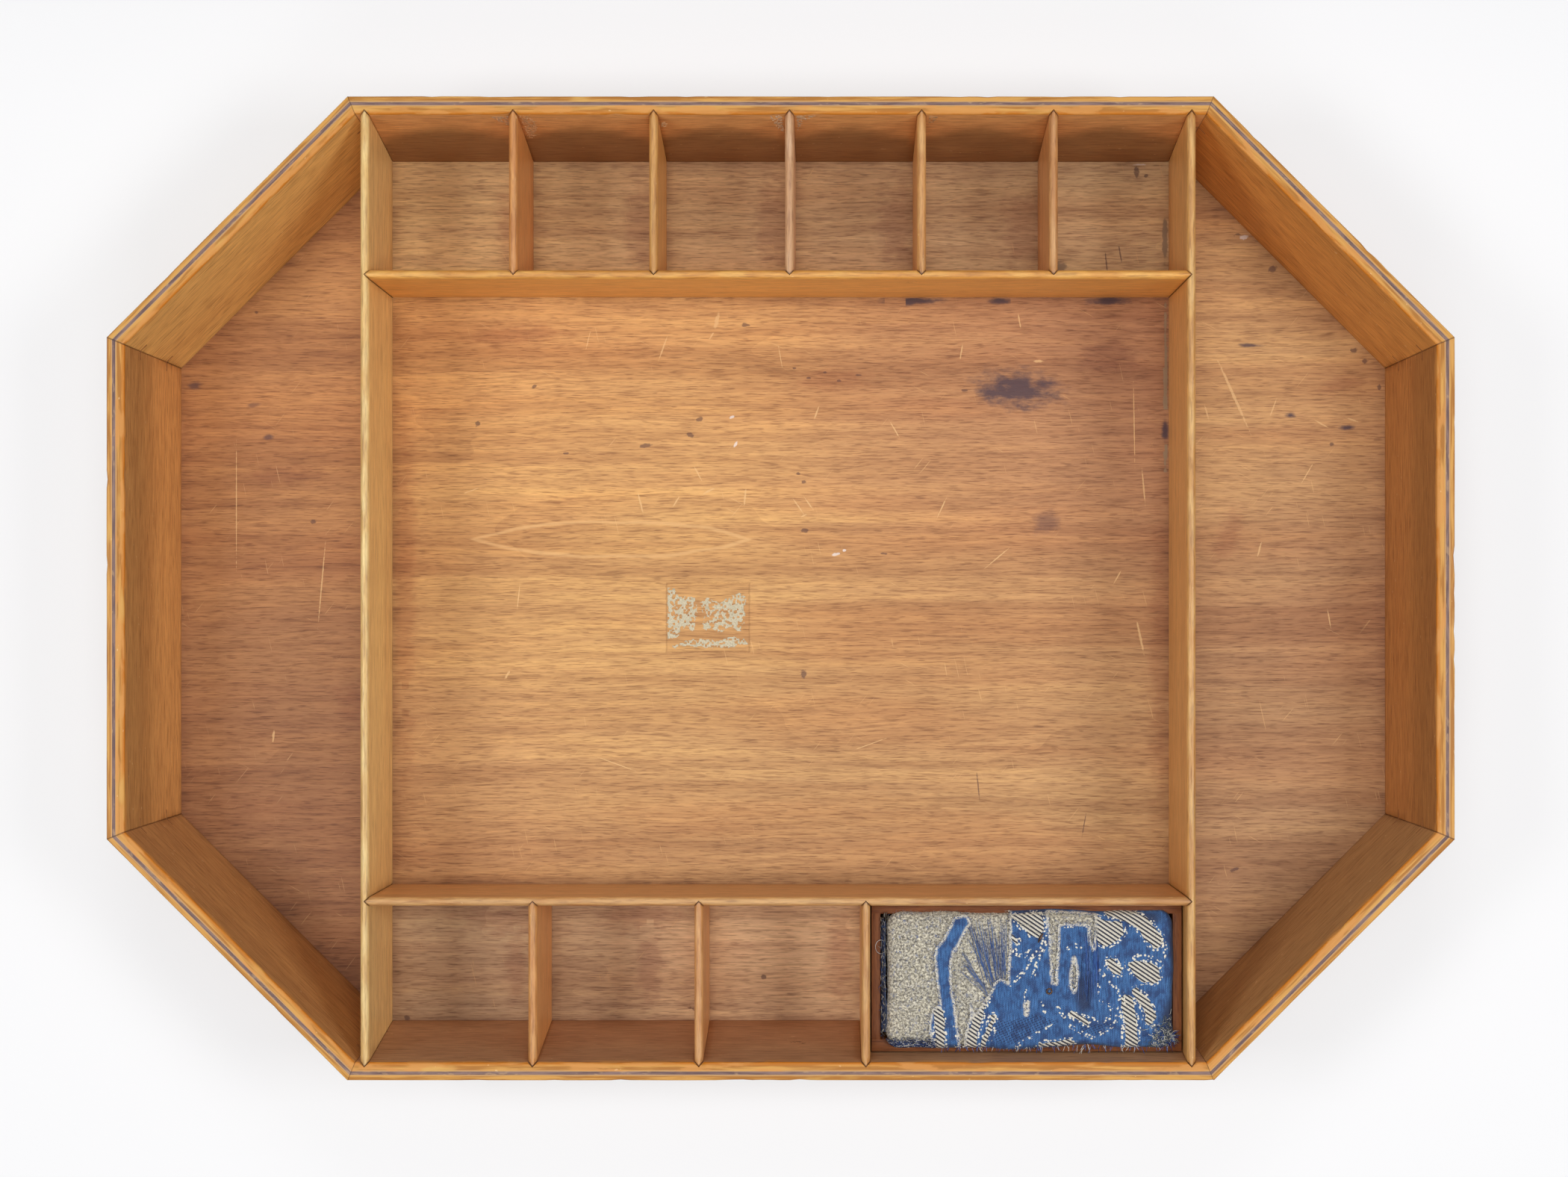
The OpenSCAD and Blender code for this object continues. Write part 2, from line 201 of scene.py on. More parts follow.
def wood_layers(s, bands=1.0, fibres=1.0, pores=1.0, rings=1.0, streaks=0.3):
    """Colour and height of a rotary-cut veneer, from its own grain coordinates and its own tint."""
    grain = s.attribute("grain")
    colour = s.attribute("tint", "Color")
    wander = s.speckle(grain, (9, 35, 35), detail=1.0)
    sway = s.node("ShaderNodeCombineXYZ", {1: s.ramp(wander, 0, 1, -0.002, 0.002, False)})
    line = s.moved(grain, sway)

    def layer(along, across, detail, roughness=0.5):
        return s.speckle(line, (along, across, across), detail, roughness)

    streak, band, redness = layer(3.5, 210, 4.0, 0.6), layer(4, 75, 3.0, 0.6), layer(6, 42, 2.0)
    patch, fibre, coarse = layer(22, 60, 3.0), layer(105, 1450, 3.0, 0.65), layer(45, 560, 2.0, 0.6)
    ring = s.math("FRACT", s.math("MULTIPLY", layer(2.4, 17, 1.5), 7.0))
    dark_pore = s.ramp(layer(190, 2300, 1.0), 0.56, 0.70, 0, 0.55 * pores)
    # each layer: its noise, where it starts and is whole, how much of it shows, its multiplier, smooth
    for source, start, whole, share, multiplier, smooth in (
        (streak, 0.48, 0.64, 0.55 * streaks, (0.74, 0.66, 0.62), True),
        (streak, 0.50, 0.34, 0.55 * streaks, (1.18, 1.22, 1.16), True),
        (band, 0.42, 0.66, 0.55 * bands, (0.80, 0.72, 0.68), True),
        (band, 0.52, 0.30, 0.6 * bands, (1.10, 1.12, 1.06), True),
        (redness, 0.45, 0.7, 0.5 * bands, (1.02, 0.90, 0.84), True),
        (patch, 0.50, 0.74, 0.22 * bands, (0.80, 0.76, 0.76), True),
        (ring, 0.80, 1.0, 0.26 * rings, (0.72, 0.62, 0.54), False),
        (ring, 0.12, 0.0, 0.30 * rings, (1.16, 1.16, 1.10), False),
        (fibre, 0.48, 0.68, 0.90 * fibres, (0.62, 0.54, 0.50), True),
        (fibre, 0.50, 0.30, 0.80 * fibres, (1.22, 1.24, 1.22), True),
        (coarse, 0.50, 0.72, 0.40 * fibres, (0.66, 0.58, 0.55), True),
        (coarse, 0.50, 0.28, 0.35 * fibres, (1.14, 1.15, 1.12), True),
    ):
        colour = s.times(s.ramp(source, start, whole, 0, share, smooth), colour, multiplier)
    colour = s.times(dark_pore, colour, (0.50, 0.42, 0.40))
    height = s.math("SUBTRACT", s.math("MULTIPLY", fibre, 0.5), dark_pore)
    return colour, height, grain


def specks(s, colour, grain, spacing, size, multiplier):
    """Small dark spots scattered about one to each square of the given spacing, a few of them shown."""
    scale = 1 / spacing
    cell = s.scaled(s.moved(grain, (0.013, 0.007, 0.003)), (scale * 0.6, scale, scale * 0.2))
    voronoi = s.node("ShaderNodeTexVoronoi", {"Vector": cell, "Scale": 1.0}).node
    ragged = s.speckle(grain, (700, 1500, 1500))
    far = s.jitter(voronoi.outputs["Distance"], ragged, 0.12, 0, 1)
    chosen = s.ramp(s.split(voronoi.outputs["Color"])[0], 0.55, 0.60, 0, 1)
    near = s.ramp(far, size * 0.45 * scale, size * scale, 0.8, 0)
    return s.times(s.both(near, chosen), colour, multiplier)


def pale_ticks(s, colour, grain, share):
    """Tiny chips in the varnish."""
    tick = s.speckle(grain, (420, 900, 900), detail=1.0)
    return s.mix(s.ramp(tick, 0.76, 0.80, 0, share), colour, srgb(226, 190, 140))


def mitre_line(s, colour, place, width):
    """The dark glue line where two walls meet."""
    from_mitre = s.split(place)[0]
    ragged = s.speckle(place, (500, 900, 900), detail=1.0)
    edge = s.math("ADD", from_mitre, s.ramp(ragged, 0, 1, -0.00016, 0.00010, False))
    return s.times(s.ramp(edge, width * 0.3, width * 1.6, 0.8, 0), colour, (0.30, 0.24, 0.20))


def wall_specks(s, colour, grain, spacing, place, width):
    """The dark spots of a wall or partition, and the dark glue line where two walls meet."""
    colour = specks(s, colour, grain, spacing, 0.0009, (0.35, 0.28, 0.26))
    return mitre_line(s, colour, place, width)


def panel_wood():
    """The partitions: broad varnished faces with a worn top edge, and painted shade along the foot."""
    s = Surface("varnished_wood", Roughness=0.45, Coat_Weight=0.15, Coat_Roughness=0.22)
    colour, height, grain = wood_layers(s, bands=0.55, fibres=0.75, pores=0.6, rings=0.35)
    place = s.attribute("place")
    _, up, _ = s.split(place)
    scuff = s.speckle(grain, (60, 260, 260), detail=3.0)
    worn_top = s.ramp(up, WALL_HEIGHT - 2.6 * MM, WALL_HEIGHT - 0.6 * MM)
    colour = s.times(worn_top, colour, (0.84, 0.91, 1.0))
    colour = s.times(s.both(worn_top, s.ramp(scuff, 0.62, 0.42)), colour, (0.86, 0.74, 0.62))
    colour = pale_ticks(s, colour, grain, 0.55)
    # Painted shade along the foot of each partition, where it meets the floor.
    colour = s.times(s.ramp(up, 0.0, 1.6 * MM, 0.55, 0.0), colour, (0.50, 0.42, 0.36))
    colour = wall_specks(s, colour, grain, 0.045, place, 0.00042)
    return s.finish(colour, height, depth=0.00003)


def rim_wood(name, core_side):
    """An outer or inner ply: varnished faces, and on the rim streaky end wood, pale beside the core."""
    s = Surface(name, Roughness=0.5, Coat_Weight=0.04, Coat_Roughness=0.25, Specular_IOR_Level=0.28)
    colour, height, grain = wood_layers(s, bands=0.55, fibres=0.8, pores=0.6, rings=0.35)
    place = s.attribute("place")
    _, up, depth = s.split(place)
    on_rim = s.ramp(up, WALL_HEIGHT - 1.1 * MM, WALL_HEIGHT - 0.35 * MM)
    streak = s.speckle(grain, (55, 900, 900), detail=3.0)
    rim_colour = s.mix(s.ramp(streak, 0.38, 0.62), srgb(168, 110, 42), srgb(206, 152, 76))
    if name == "inner_ply_wood":
        rim_colour = s.mix(s.ramp(depth, 4.6 * MM, 6.2 * MM), rim_colour, srgb(192, 114, 26))
    wavy = s.jitter(s.gap(depth, core_side), streak, 0.30 * MM)
    rim_colour = s.mix(s.ramp(wavy, 0.15 * MM, 0.55 * MM, 0.8, 0), rim_colour, srgb(196, 154, 104))
    worn = s.speckle(grain, (40, 130, 130), detail=3.0)
    rim_colour = s.mix(s.ramp(worn, 0.60, 0.70, 0, 0.6), rim_colour, srgb(210, 164, 88))
    colour = s.mix(on_rim, colour, rim_colour)
    if name == "inner_ply_wood":
        near_edge = s.ramp(up, WALL_HEIGHT - 3.4 * MM, WALL_HEIGHT - 1.0 * MM)
        rubbed = s.speckle(grain, (70, 300, 300), detail=4.0)
        rubbed = s.ramp(rubbed, 0.50, 0.60, 0, 0.75)
        colour = s.mix(s.both(near_edge, rubbed), colour, srgb(206, 142, 72))
        # Painted shade along the foot of the inner ply, where the wall meets the floor.
        colour = s.times(s.ramp(up, 0.0, 1.4 * MM, 0.6, 0.0), colour, (0.50, 0.40, 0.34))
    colour = pale_ticks(s, colour, grain, 0.5)
    colour = wall_specks(s, colour, grain, 0.050, place, 0.00022)
    return s.finish(colour, height, depth=0.00003)


def core_wood():
    """The dark dyed ply in the middle of the walls, which shows as a line on the rim."""
    s = Surface("core_ply_wood", Roughness=0.6)
    grain = s.attribute("grain")
    fibre = s.speckle(grain, (120, 1500, 1500), detail=3.0)
    blot = s.speckle(grain, (260, 900, 900))
    colour = s.mix(s.ramp(fibre, 0.3, 0.7), srgb(96, 70, 68), srgb(136, 108, 100))
    colour = s.mix(s.ramp(blot, 0.58, 0.70, 0, 0.6), colour, srgb(172, 140, 108))
    colour = mitre_line(s, colour, s.attribute("place"), 0.00022)
    return s.finish(colour, fibre, depth=0.00004)


def lens_figure(s, colour, grain, x, y):
    """A slim lens in the veneer, drawn by two faint pale lines."""
    centre_x, centre_y, half_l, half_w = (-61.5 * MM, 18.6 * MM, 49 * MM, 6.2 * MM)
    ragged = s.ramp(s.speckle(grain, (60, 160, 0), detail=3.0), 0, 1, -0.22, 0.22, False)
    u = s.math("DIVIDE", s.math("SUBTRACT", x, centre_x), half_l)
    v = s.math("ABSOLUTE", s.math("DIVIDE", s.math("SUBTRACT", y, centre_y), half_w))
    blunt = s.math("SUBTRACT", 1.0, s.math("POWER", s.math("ABSOLUTE", u), 2.6))
    inside = s.math("ADD", s.math("SUBTRACT", blunt, v), ragged)
    outline = s.ramp(s.math("ABSOLUTE", inside), 0.02, 0.16, 0.55, 0)
    colour = s.mix(outline, colour, srgb(228, 180, 120))
    return s.times(s.ramp(inside, 0.0, 0.2, 0, 0.5), colour, (1.06, 1.07, 1.02))


def stains_and_shade(s, colour, grain):
    """Large soft blots of ink and soiling, long strips of painted shade beside the cross partitions, and
    bare wood: their places and sizes come with the mesh.
    """
    u, v, kind = s.split(s.attribute("stain"))
    wobble = s.speckle(grain, (170, 330, 0), detail=4.0, roughness=0.6)
    out = s.jitter(s.length(u, v), wobble, 0.55)
    blot = s.ramp(out, 0.25, 1.15, 0.95, 0)
    colour = s.mix(s.both(blot, s.ramp(kind, 0.2, 0.8)), colour, srgb(78, 56, 62))
    colour = s.times(s.both(blot, s.ramp(kind, 0.8, 0.2)), colour, (0.84, 0.74, 0.72))
    bare = s.both(s.ramp(out, 0.7, 1.0, 0.9, 0), s.ramp(kind, 1.2, 1.8))
    return s.mix(bare, colour, srgb(158, 132, 100))


def scratches(s, colour, grain, fine):
    """Scratches, nicks and grains of grit in their own places, then hair scratches in every direction."""
    u, v, kind = s.split(s.attribute("mark"))
    mark = s.ramp(s.jitter(s.length(u, v), fine, 0.35), 0.55, 1.0, 1.0, 0)
    mark_colour = s.mix(s.ramp(kind, 0.4, 0.6), srgb(84, 52, 48), srgb(226, 184, 128))
    mark_colour = s.mix(s.ramp(kind, 1.4, 1.6), mark_colour, srgb(232, 222, 216))
    colour = s.mix(s.both(mark, MARK_STRENGTH), colour, mark_colour)
    for turn, offset in ((0.5, 0.0), (-0.9, 0.31), (1.35, 0.57)):
        sockets = {"Vector": s.moved(grain, (offset, 0, 0)), "Angle": turn}
        turned = s.node("ShaderNodeVectorRotate", sockets, rotation_type="Z_AXIS")
        bent = s.speckle(turned, (30, 30, 0), detail=1.0)
        hair = s.speckle(turned, (75, 1500, 0), detail=1.0, distortion=0.1)
        here = s.both(s.ramp(hair, 0.71, 0.77, 0, 0.40), s.ramp(bent, 0.50, 0.60))
        colour = s.mix(here, colour, srgb(226, 180, 122))
    return colour


def label_ghost(s, colour, x, y, fine):
    """The trace of the whole label: a thin dark outline and a slightly darker ground."""
    low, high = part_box("paper_label_scrap")
    mid, half = (low + high) / 2, (high - low) / 2
    from_x = s.math("DIVIDE", s.gap(x, mid.x), half.x)
    from_y = s.math("DIVIDE", s.gap(y, mid.y), half.y)
    square = s.jitter(s.math("MAXIMUM", from_x, from_y), fine, 0.02)
    colour = s.times(s.ramp(square, 1.02, 0.99, 0, 0.55), colour, (0.86, 0.80, 0.74))
    outline = s.ramp(s.gap(square, 0.99), 0.008, 0.030, 0.38, 0)
    return s.times(outline, colour, (0.55, 0.48, 0.42))


def floor_wood():
    """The upper veneer of the base: blots, scratches, the trace of a label, and painted shade at the feet of
    the walls and partitions.
    """
    s = Surface("floor_wood", Roughness=0.55, Coat_Weight=0.05, Coat_Roughness=0.35,
                Specular_IOR_Level=0.35)
    colour, height, grain = wood_layers(s, bands=1.1, fibres=0.78, pores=1.1, rings=0.9, streaks=0.9)
    x, y, _ = s.split(grain)
    fine = s.speckle(grain, (900, 900, 0))
    colour = lens_figure(s, colour, grain, x, y)
    colour = stains_and_shade(s, colour, grain)
    colour = scratches(s, colour, grain, fine)
    colour = label_ghost(s, colour, x, y, fine)
    # Painted shade at the feet of the walls and partitions, broken up by a noise.
    shade_breakup = s.ramp(s.speckle(grain, (90, 90, 0), detail=4.0), 0.25, 0.6, 0.35, 1.0)
    colour = s.times(s.both(s.attribute("dirt", "Fac"), shade_breakup), colour, (0.62, 0.52, 0.46))
    colour = specks(s, colour, grain, 0.028, 0.0010, (0.34, 0.24, 0.24))
    return s.finish(colour, height)


def plain_wood(name, bands, gloss, roughness):
    """Wood with no special zones: the base's other plies, the keys and the pincushion box."""
    s = Surface(name, Roughness=roughness, Coat_Weight=gloss, Coat_Roughness=0.3, Specular_IOR_Level=0.25)
    colour, height, grain = wood_layers(s, bands=bands, fibres=0.9, pores=0.9, rings=0.3)
    colour = specks(s, colour, grain, 0.022, 0.0011, (0.40, 0.34, 0.32))
    return s.finish(colour, height)


# ---------------------------------------------------------------- wood pieces


def set_attribute(mesh, name, values, kind="FLOAT_VECTOR", domain="POINT"):
    """Stores numbers on a mesh: one row for each point or face corner."""
    made = mesh.attributes.get(name) or mesh.attributes.new(name, kind, domain)
    field = {"FLOAT_VECTOR": "vector", "FLOAT_COLOR": "color", "FLOAT": "value"}[kind]
    made.data.foreach_set(field, np.asarray(values, np.float32).ravel())


def points_of(mesh):
    """The mesh's points, one to a row."""
    co = np.zeros(len(mesh.vertices) * 3, np.float32)
    mesh.vertices.foreach_get("co", co)
    return co.reshape(-1, 3).astype(float)


def add_piece(name, mesh, body, material, nodes=(), smooth_angle=35):
    """A new object that rides on a body, in its material, standing for some CAD nodes."""
    piece = bpy.data.objects.new(name, mesh)
    bpy.context.scene.collection.objects.link(piece)
    mesh.materials.clear()
    mesh.materials.append(material)
    mesh.polygons.foreach_set("use_smooth", [True] * len(mesh.polygons))
    if smooth_angle < 180:
        mesh.set_sharp_from_angle(angle=math.radians(smooth_angle))
    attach(piece, body)
    if nodes:
        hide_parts(*nodes)
    return piece


def clean_solid(node):
    """A CAD node's mesh as a bmesh, with its flat faces whole again."""
    bm = bmesh.new()
    bm.from_mesh(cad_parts[node].data)
    bmesh.ops.remove_doubles(bm, verts=bm.verts, dist=1e-6)
    bmesh.ops.dissolve_limit(bm, angle_limit=math.radians(1), verts=bm.verts, edges=bm.edges)
    return bm


def slice_along(bm, direction, step):
    """Cuts the mesh across one direction at even steps, so that it can take dents."""
    direction = Vector(direction)
    reach = [v.co.dot(direction) for v in bm.verts]
    count = int((max(reach) - min(reach)) / step)
    for i in range(1, count):
        cut_with(bm, direction * (min(reach) + (max(reach) - min(reach)) * i / count), direction)


def cut_with(bm, place, direction, **settings):
    """Cuts the whole mesh with a plane."""
    geometry = bm.verts[:] + bm.edges[:] + bm.faces[:]
    bmesh.ops.bisect_plane(bm, geom=geometry, plane_co=place, plane_no=direction, **settings)


def round_edges(bm, chosen, radius, segments=3):
    """Rounds the mesh's real edges, as far as a function chooses them."""
    least = math.radians(25)
    edges = [e for e in bm.edges if e.is_manifold and e.calc_face_angle(0) > least and chosen(e)]
    if edges:
        bmesh.ops.bevel(bm, geom=edges, offset=radius, offset_type="OFFSET", segments=segments,
                        profile=0.5, affect="EDGES", clamp_overlap=True)


def to_mesh(bm, name):
    """Ends a bmesh: its faces turned outward, as a new mesh."""
    bmesh.ops.recalc_face_normals(bm, faces=bm.faces)
    mesh = bpy.data.meshes.new(name)
    bm.to_mesh(mesh)
    bm.free()
    return mesh


def rough(point, scale, seed=0.0):
    """Smooth noise from -1 to 1 at a point, for dents and ragged edges."""
    return noise.noise(Vector(point) * scale + Vector((seed, 1.7 * seed, -0.6 * seed)))


def tinted(mesh, colour):
    """Gives the whole mesh one tint."""
    count = len(mesh.vertices)
    set_attribute(mesh, "tint", np.tile(srgb(*colour), (count, 1)), "FLOAT_COLOR")


class Wall:
    """One wall's own directions and size, read from its outer ply."""

    def __init__(self, name):
        self.name = name
        facing, self.tint, self.painted_shading = WALLS[name]
        turn = math.radians(facing)
        self.out = np.array([math.cos(turn), math.sin(turn), 0])
        self.along = np.array([-math.sin(turn), math.cos(turn), 0])
        points = points_of(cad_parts[name + "_outer_ply"].data)
        self.rim_distance = (points @ self.out).max()
        self.half_length = np.abs(points @ self.along).max()
        self.slope = math.tan(WALL_LEAN)
        inner = points_of(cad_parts[name + "_inner_ply"].data)
        self.thickness = self.depth(inner).max()

    def depth(self, points):
        """How far points lie behind the wall's outer face, measured level."""
        points = np.atleast_2d(points)
        return self.rim_distance - points @ self.out - self.slope * (RIM_Z - points[:, 2])

    def from_mitre(self, points):
        """How far points lie from the nearer mitred end of the wall."""
        inward = self.rim_distance - points @ self.out
        reach = self.half_length - inward * math.tan(HALF_TURN)
        return (reach - np.abs(points @ self.along)) * math.cos(HALF_TURN)


def rub_rim(bm, wall, ply, rim_side, seed):
    """Wears the ply's rim edge down in small dents and nicks."""
    inward = 1 if ply == "outer_ply" else -1
    for vertex in bm.verts:
        if vertex.co.z < RIM_Z - 2.0 * MM:
            continue
        depth = wall.depth(np.array(vertex.co))[0]
        near = max(0.0, 1 - abs(depth - rim_side) / (1.2 * MM))
        nick = max(0.0, rough(vertex.co, 170, seed) - 0.32) * 1.5
        dent = near * (0.10 + 0.12 * rough(vertex.co, 45, seed) + 0.9 * nick) * MM
        vertex.co.z -= max(0.0, dent)
        vertex.co -= Vector(wall.out) * (inward * max(0.0, dent) * 0.6)


def painted_wall_shading(wall, points):
    """How much painted shade darkens and painted light brightens an inner ply at each point: a factor from
    low down to high up, and on the back wall a painted shadow arch in each cell.
    """
    share = np.clip((points[:, 2] - 22 * MM) / (20 * MM), 0, 1)
    if wall.name == "back_wall":
        places = sorted(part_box(n)[0].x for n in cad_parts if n.startswith("back_cell_divider"))
        left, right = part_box("left_cross_divider")[1].x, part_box("right_cross_divider")[0].x
        gap = np.abs(points[:, :1] - np.array([left] + places + [right])).min(axis=1)
        # the top of the painted shadow in each back cell: highest mid-cell, lowest beside the partitions
        shadow_edge = 27 * MM + 15 * MM * np.clip(gap / (22 * MM), 0, 1) ** 0.7
        share = np.clip((points[:, 2] - shadow_edge + 5 * MM) / (10 * MM), 0, 1)
    low, high = wall.painted_shading
    return low + (high - low) * share * share * (3 - 2 * share)


def wall_ply(wall, ply, material, seed):
    """One ply of a wall: its rim edge rounded, rubbed and nicked, the rest as the design says."""
    node = f"{wall.name}_{ply}"
    bm = clean_solid(node)
    rim_side = {"outer_ply": 0.0, "core_ply": None, "inner_ply": wall.thickness}[ply]

    def is_rim_edge(edge):
        ends = np.array([v.co for v in edge.verts])
        on_side = np.abs(wall.depth(ends) - rim_side) < 0.02 * MM
        return bool(np.all(ends[:, 2] > RIM_Z - 0.01 * MM) and np.all(on_side))

    if rim_side is not None:
        round_edges(bm, is_rim_edge, 0.55 * MM)
    for drop in (42, 34, 27, 20, 14, 8, 3.0, 1.4):
        cut_with(bm, (0, 0, RIM_Z - drop * MM), (0, 0, 1))
    slice_along(bm, wall.along, 3.2 * MM)
    if rim_side is not None:
        rub_rim(bm, wall, ply, rim_side, seed)
    mesh = to_mesh(bm, node)
    points = points_of(mesh)
    depth = wall.depth(points)
    grain = np.stack([points @ wall.along + seed, points[:, 2] + 0.37 * seed, depth], axis=1)
    set_attribute(mesh, "grain", grain)
    place = np.stack([wall.from_mitre(points), points[:, 2] - FLOOR_Z, depth], axis=1)
    set_attribute(mesh, "place", place)
    # painted light and shade, on the inner ply only
    shade = painted_wall_shading(wall, points) if ply == "inner_ply" else np.ones(len(points))
    tints = np.tile(srgb(*wall.tint), (len(points), 1))
    tints[:, :3] *= shade[:, None]
    set_attribute(mesh, "tint", tints, "FLOAT_COLOR")
    return add_piece(f"{node}_wood", mesh, "tray", material, [node])


def divider(node, along_y, material, tint, seed):
    """A partition with a rubbed round top and small dents along it."""
    bm = clean_solid(node)
    along = np.array([0, 1, 0] if along_y else [1, 0, 0])
    across = np.array([1, 0, 0] if along_y else [0, 1, 0])
    slice_along(bm, along, 3.0 * MM)
    low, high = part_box(node)
    middle = np.array((low + high) / 2)
    for vertex in bm.verts:
        if vertex.co.z < high.z - 1.2 * MM:
            continue
        dent = max(0.0, rough(vertex.co, 130, seed) - 0.25) * 0.8
        vertex.co.z -= (0.03 + dent + 0.05 * rough(vertex.co, 40, seed)) * MM
    mesh = to_mesh(bm, node)
    points = points_of(mesh)
    grain = [points @ along + seed, points[:, 2] + 0.41 * seed, (points - middle) @ across]
    set_attribute(mesh, "grain", np.stack(grain, axis=1))
    run, off = points @ along, np.abs((points - middle) @ across)
    tip = np.minimum(run - np.array(low) @ along, np.array(high) @ along - run) - off * 0.9
    far = np.full(len(points), 0.05)
    set_attribute(mesh, "place", np.stack([tip, points[:, 2] - FLOOR_Z, far], axis=1))
    tinted(mesh, tint)
    return add_piece(f"{node}_wood", mesh, "tray", material, [node])


def simple_wood(node, along, material, tint, seed, body="tray", radius=0.25 * MM, step=4 * MM):
    """Any other wooden piece: its edges eased, sliced along its grain and very slightly uneven."""
    bm = clean_solid(node)
    if radius:
        round_edges(bm, lambda edge: True, radius, segments=2)
    if step:
        slice_along(bm, along, step)
        for vertex in bm.verts:
            vertex.co += Vector((0, 0, 1)) * (0.06 * MM * rough(vertex.co, 60, seed))
    mesh = to_mesh(bm, node)
    points = points_of(mesh)
    along = np.array(along, float)
    across = np.cross([0, 0, 1], along)
    grain = np.stack([points @ along + seed, points @ across + 0.3 * seed, points[:, 2]], axis=1)
    set_attribute(mesh, "grain", grain)
    tinted(mesh, tint)
    return add_piece(f"{node}_wood", mesh, body, material, [node])


# ---------------------------------------------------------------- floor

# Colours of the floor here and there, as x and y in millimetres and a screen colour; partly painted light,
# as the rows of cells are set lighter than the middle
FLOOR_TONES = (
    (-200, 50, (182, 126, 76)), (-200, -60, (166, 115, 74)), (-160, 80, (190, 136, 84)),
    (-160, -60, (158, 110, 72)), (-120, 80, (214, 159, 97)), (-120, -80, (198, 150, 100)),
    (-40, 70, (214, 162, 102)), (-40, -20, (210, 161, 100)), (-95, 5, (196, 148, 92)),
    (-30, -80, (194, 149, 100)),
    (60, 60, (190, 138, 92)), (60, -20, (202, 152, 96)), (60, -85, (190, 146, 98)),
    (120, 60, (172, 122, 86)), (120, -60, (197, 155, 106)), (165, 60, (213, 167, 111)),
    (165, -60, (184, 141, 97)), (210, 20, (168, 120, 83)), (-110, 130, (228, 192, 135)),
    (-20, 130, (226, 190, 140)), (60, 130, (220, 187, 141)), (120, 130, (217, 184, 134)),
    (-110, -130, (196, 165, 127)), (0, -130, (227, 190, 146)), (170, 110, (194, 148, 96)),
    (170, -110, (180, 137, 96)),
)

# Large blots of ink and brown and bare wood, two of the brown ones long strips of painted shade beside the
# cross partitions:
# x, y, half length, half width in millimetres, turn in degrees, and kind: 1 ink, 0 brown, 2 bare wood
STAINS_AND_SHADE = (
    (84, 72.4, 18, 8.0, -3, 1), (94.7, 24.8, 5.5, 4.5, 20, 0.5), (45, 104, 13, 1.6, 0, 0.9),
    (78, 104, 6, 1.4, 0, 0.8), (117, 104, 9, 1.8, 0, 0.9), (137, 58, 5, 1.4, 90, 0.8),
    (-211.6, 73.7, 3.2, 1.8, 0, 0.6), (137, 126, 8.5, 1.0, 90, 2), (137.2, 70, 38, 0.8, 90, 2),
    (97, 115, 5, 3, 30, 2), (202.8, 58.7, 3.4, 1.2, 0, 0.9), (182, 63, 2.2, 1.2, 0, 0.9),
    (167.3, 88.2, 5.5, 0.9, 0, 0.7), (200, 74, 10, 3, 10, 0.3), (160, 20, 12, 5, 70, 0.25),
    (-180, 42, 18, 4, 4, 0.3), (-190, 66.7, 3, 1, 10, 0.5), (-185, 55.3, 2.4, 1.2, 0, 0.6),
    (-150, -40, 14, 9, 5, 0.2), (18, 76, 15, 5, 2, 0.25), (-96, 92, 20, 4, 3, 0.25),
    # the long brown strips at x = 135.5 and -135.5 mm are painted shade at the feet of the cross partitions
    (116, 84, 12, 8, 0, 0.35), (135.5, -25, 62, 5.5, 90, 0.15), (-135.5, 0, 75, 5, 90, 0.1),
    (-98, 131, 20, 6, 90, 0.15), (-51, 131, 20, 8, 90, 0.32), (-4, 131, 21, 8, 90, 0.32),
    (40, 130, 21, 8, 90, 0.32), (86, 128, 18, 9, 90, 0.32), (-100, -118, 18, 7, 0, 0.15),
    (-96, -135, 16, 5, 90, 0.15), (-50, -117, 18, 6, 0, 0.15), (-48, -135, 16, 6, 90, 0.32),
    (20, -132, 18, 6, 90, 0.2),
)

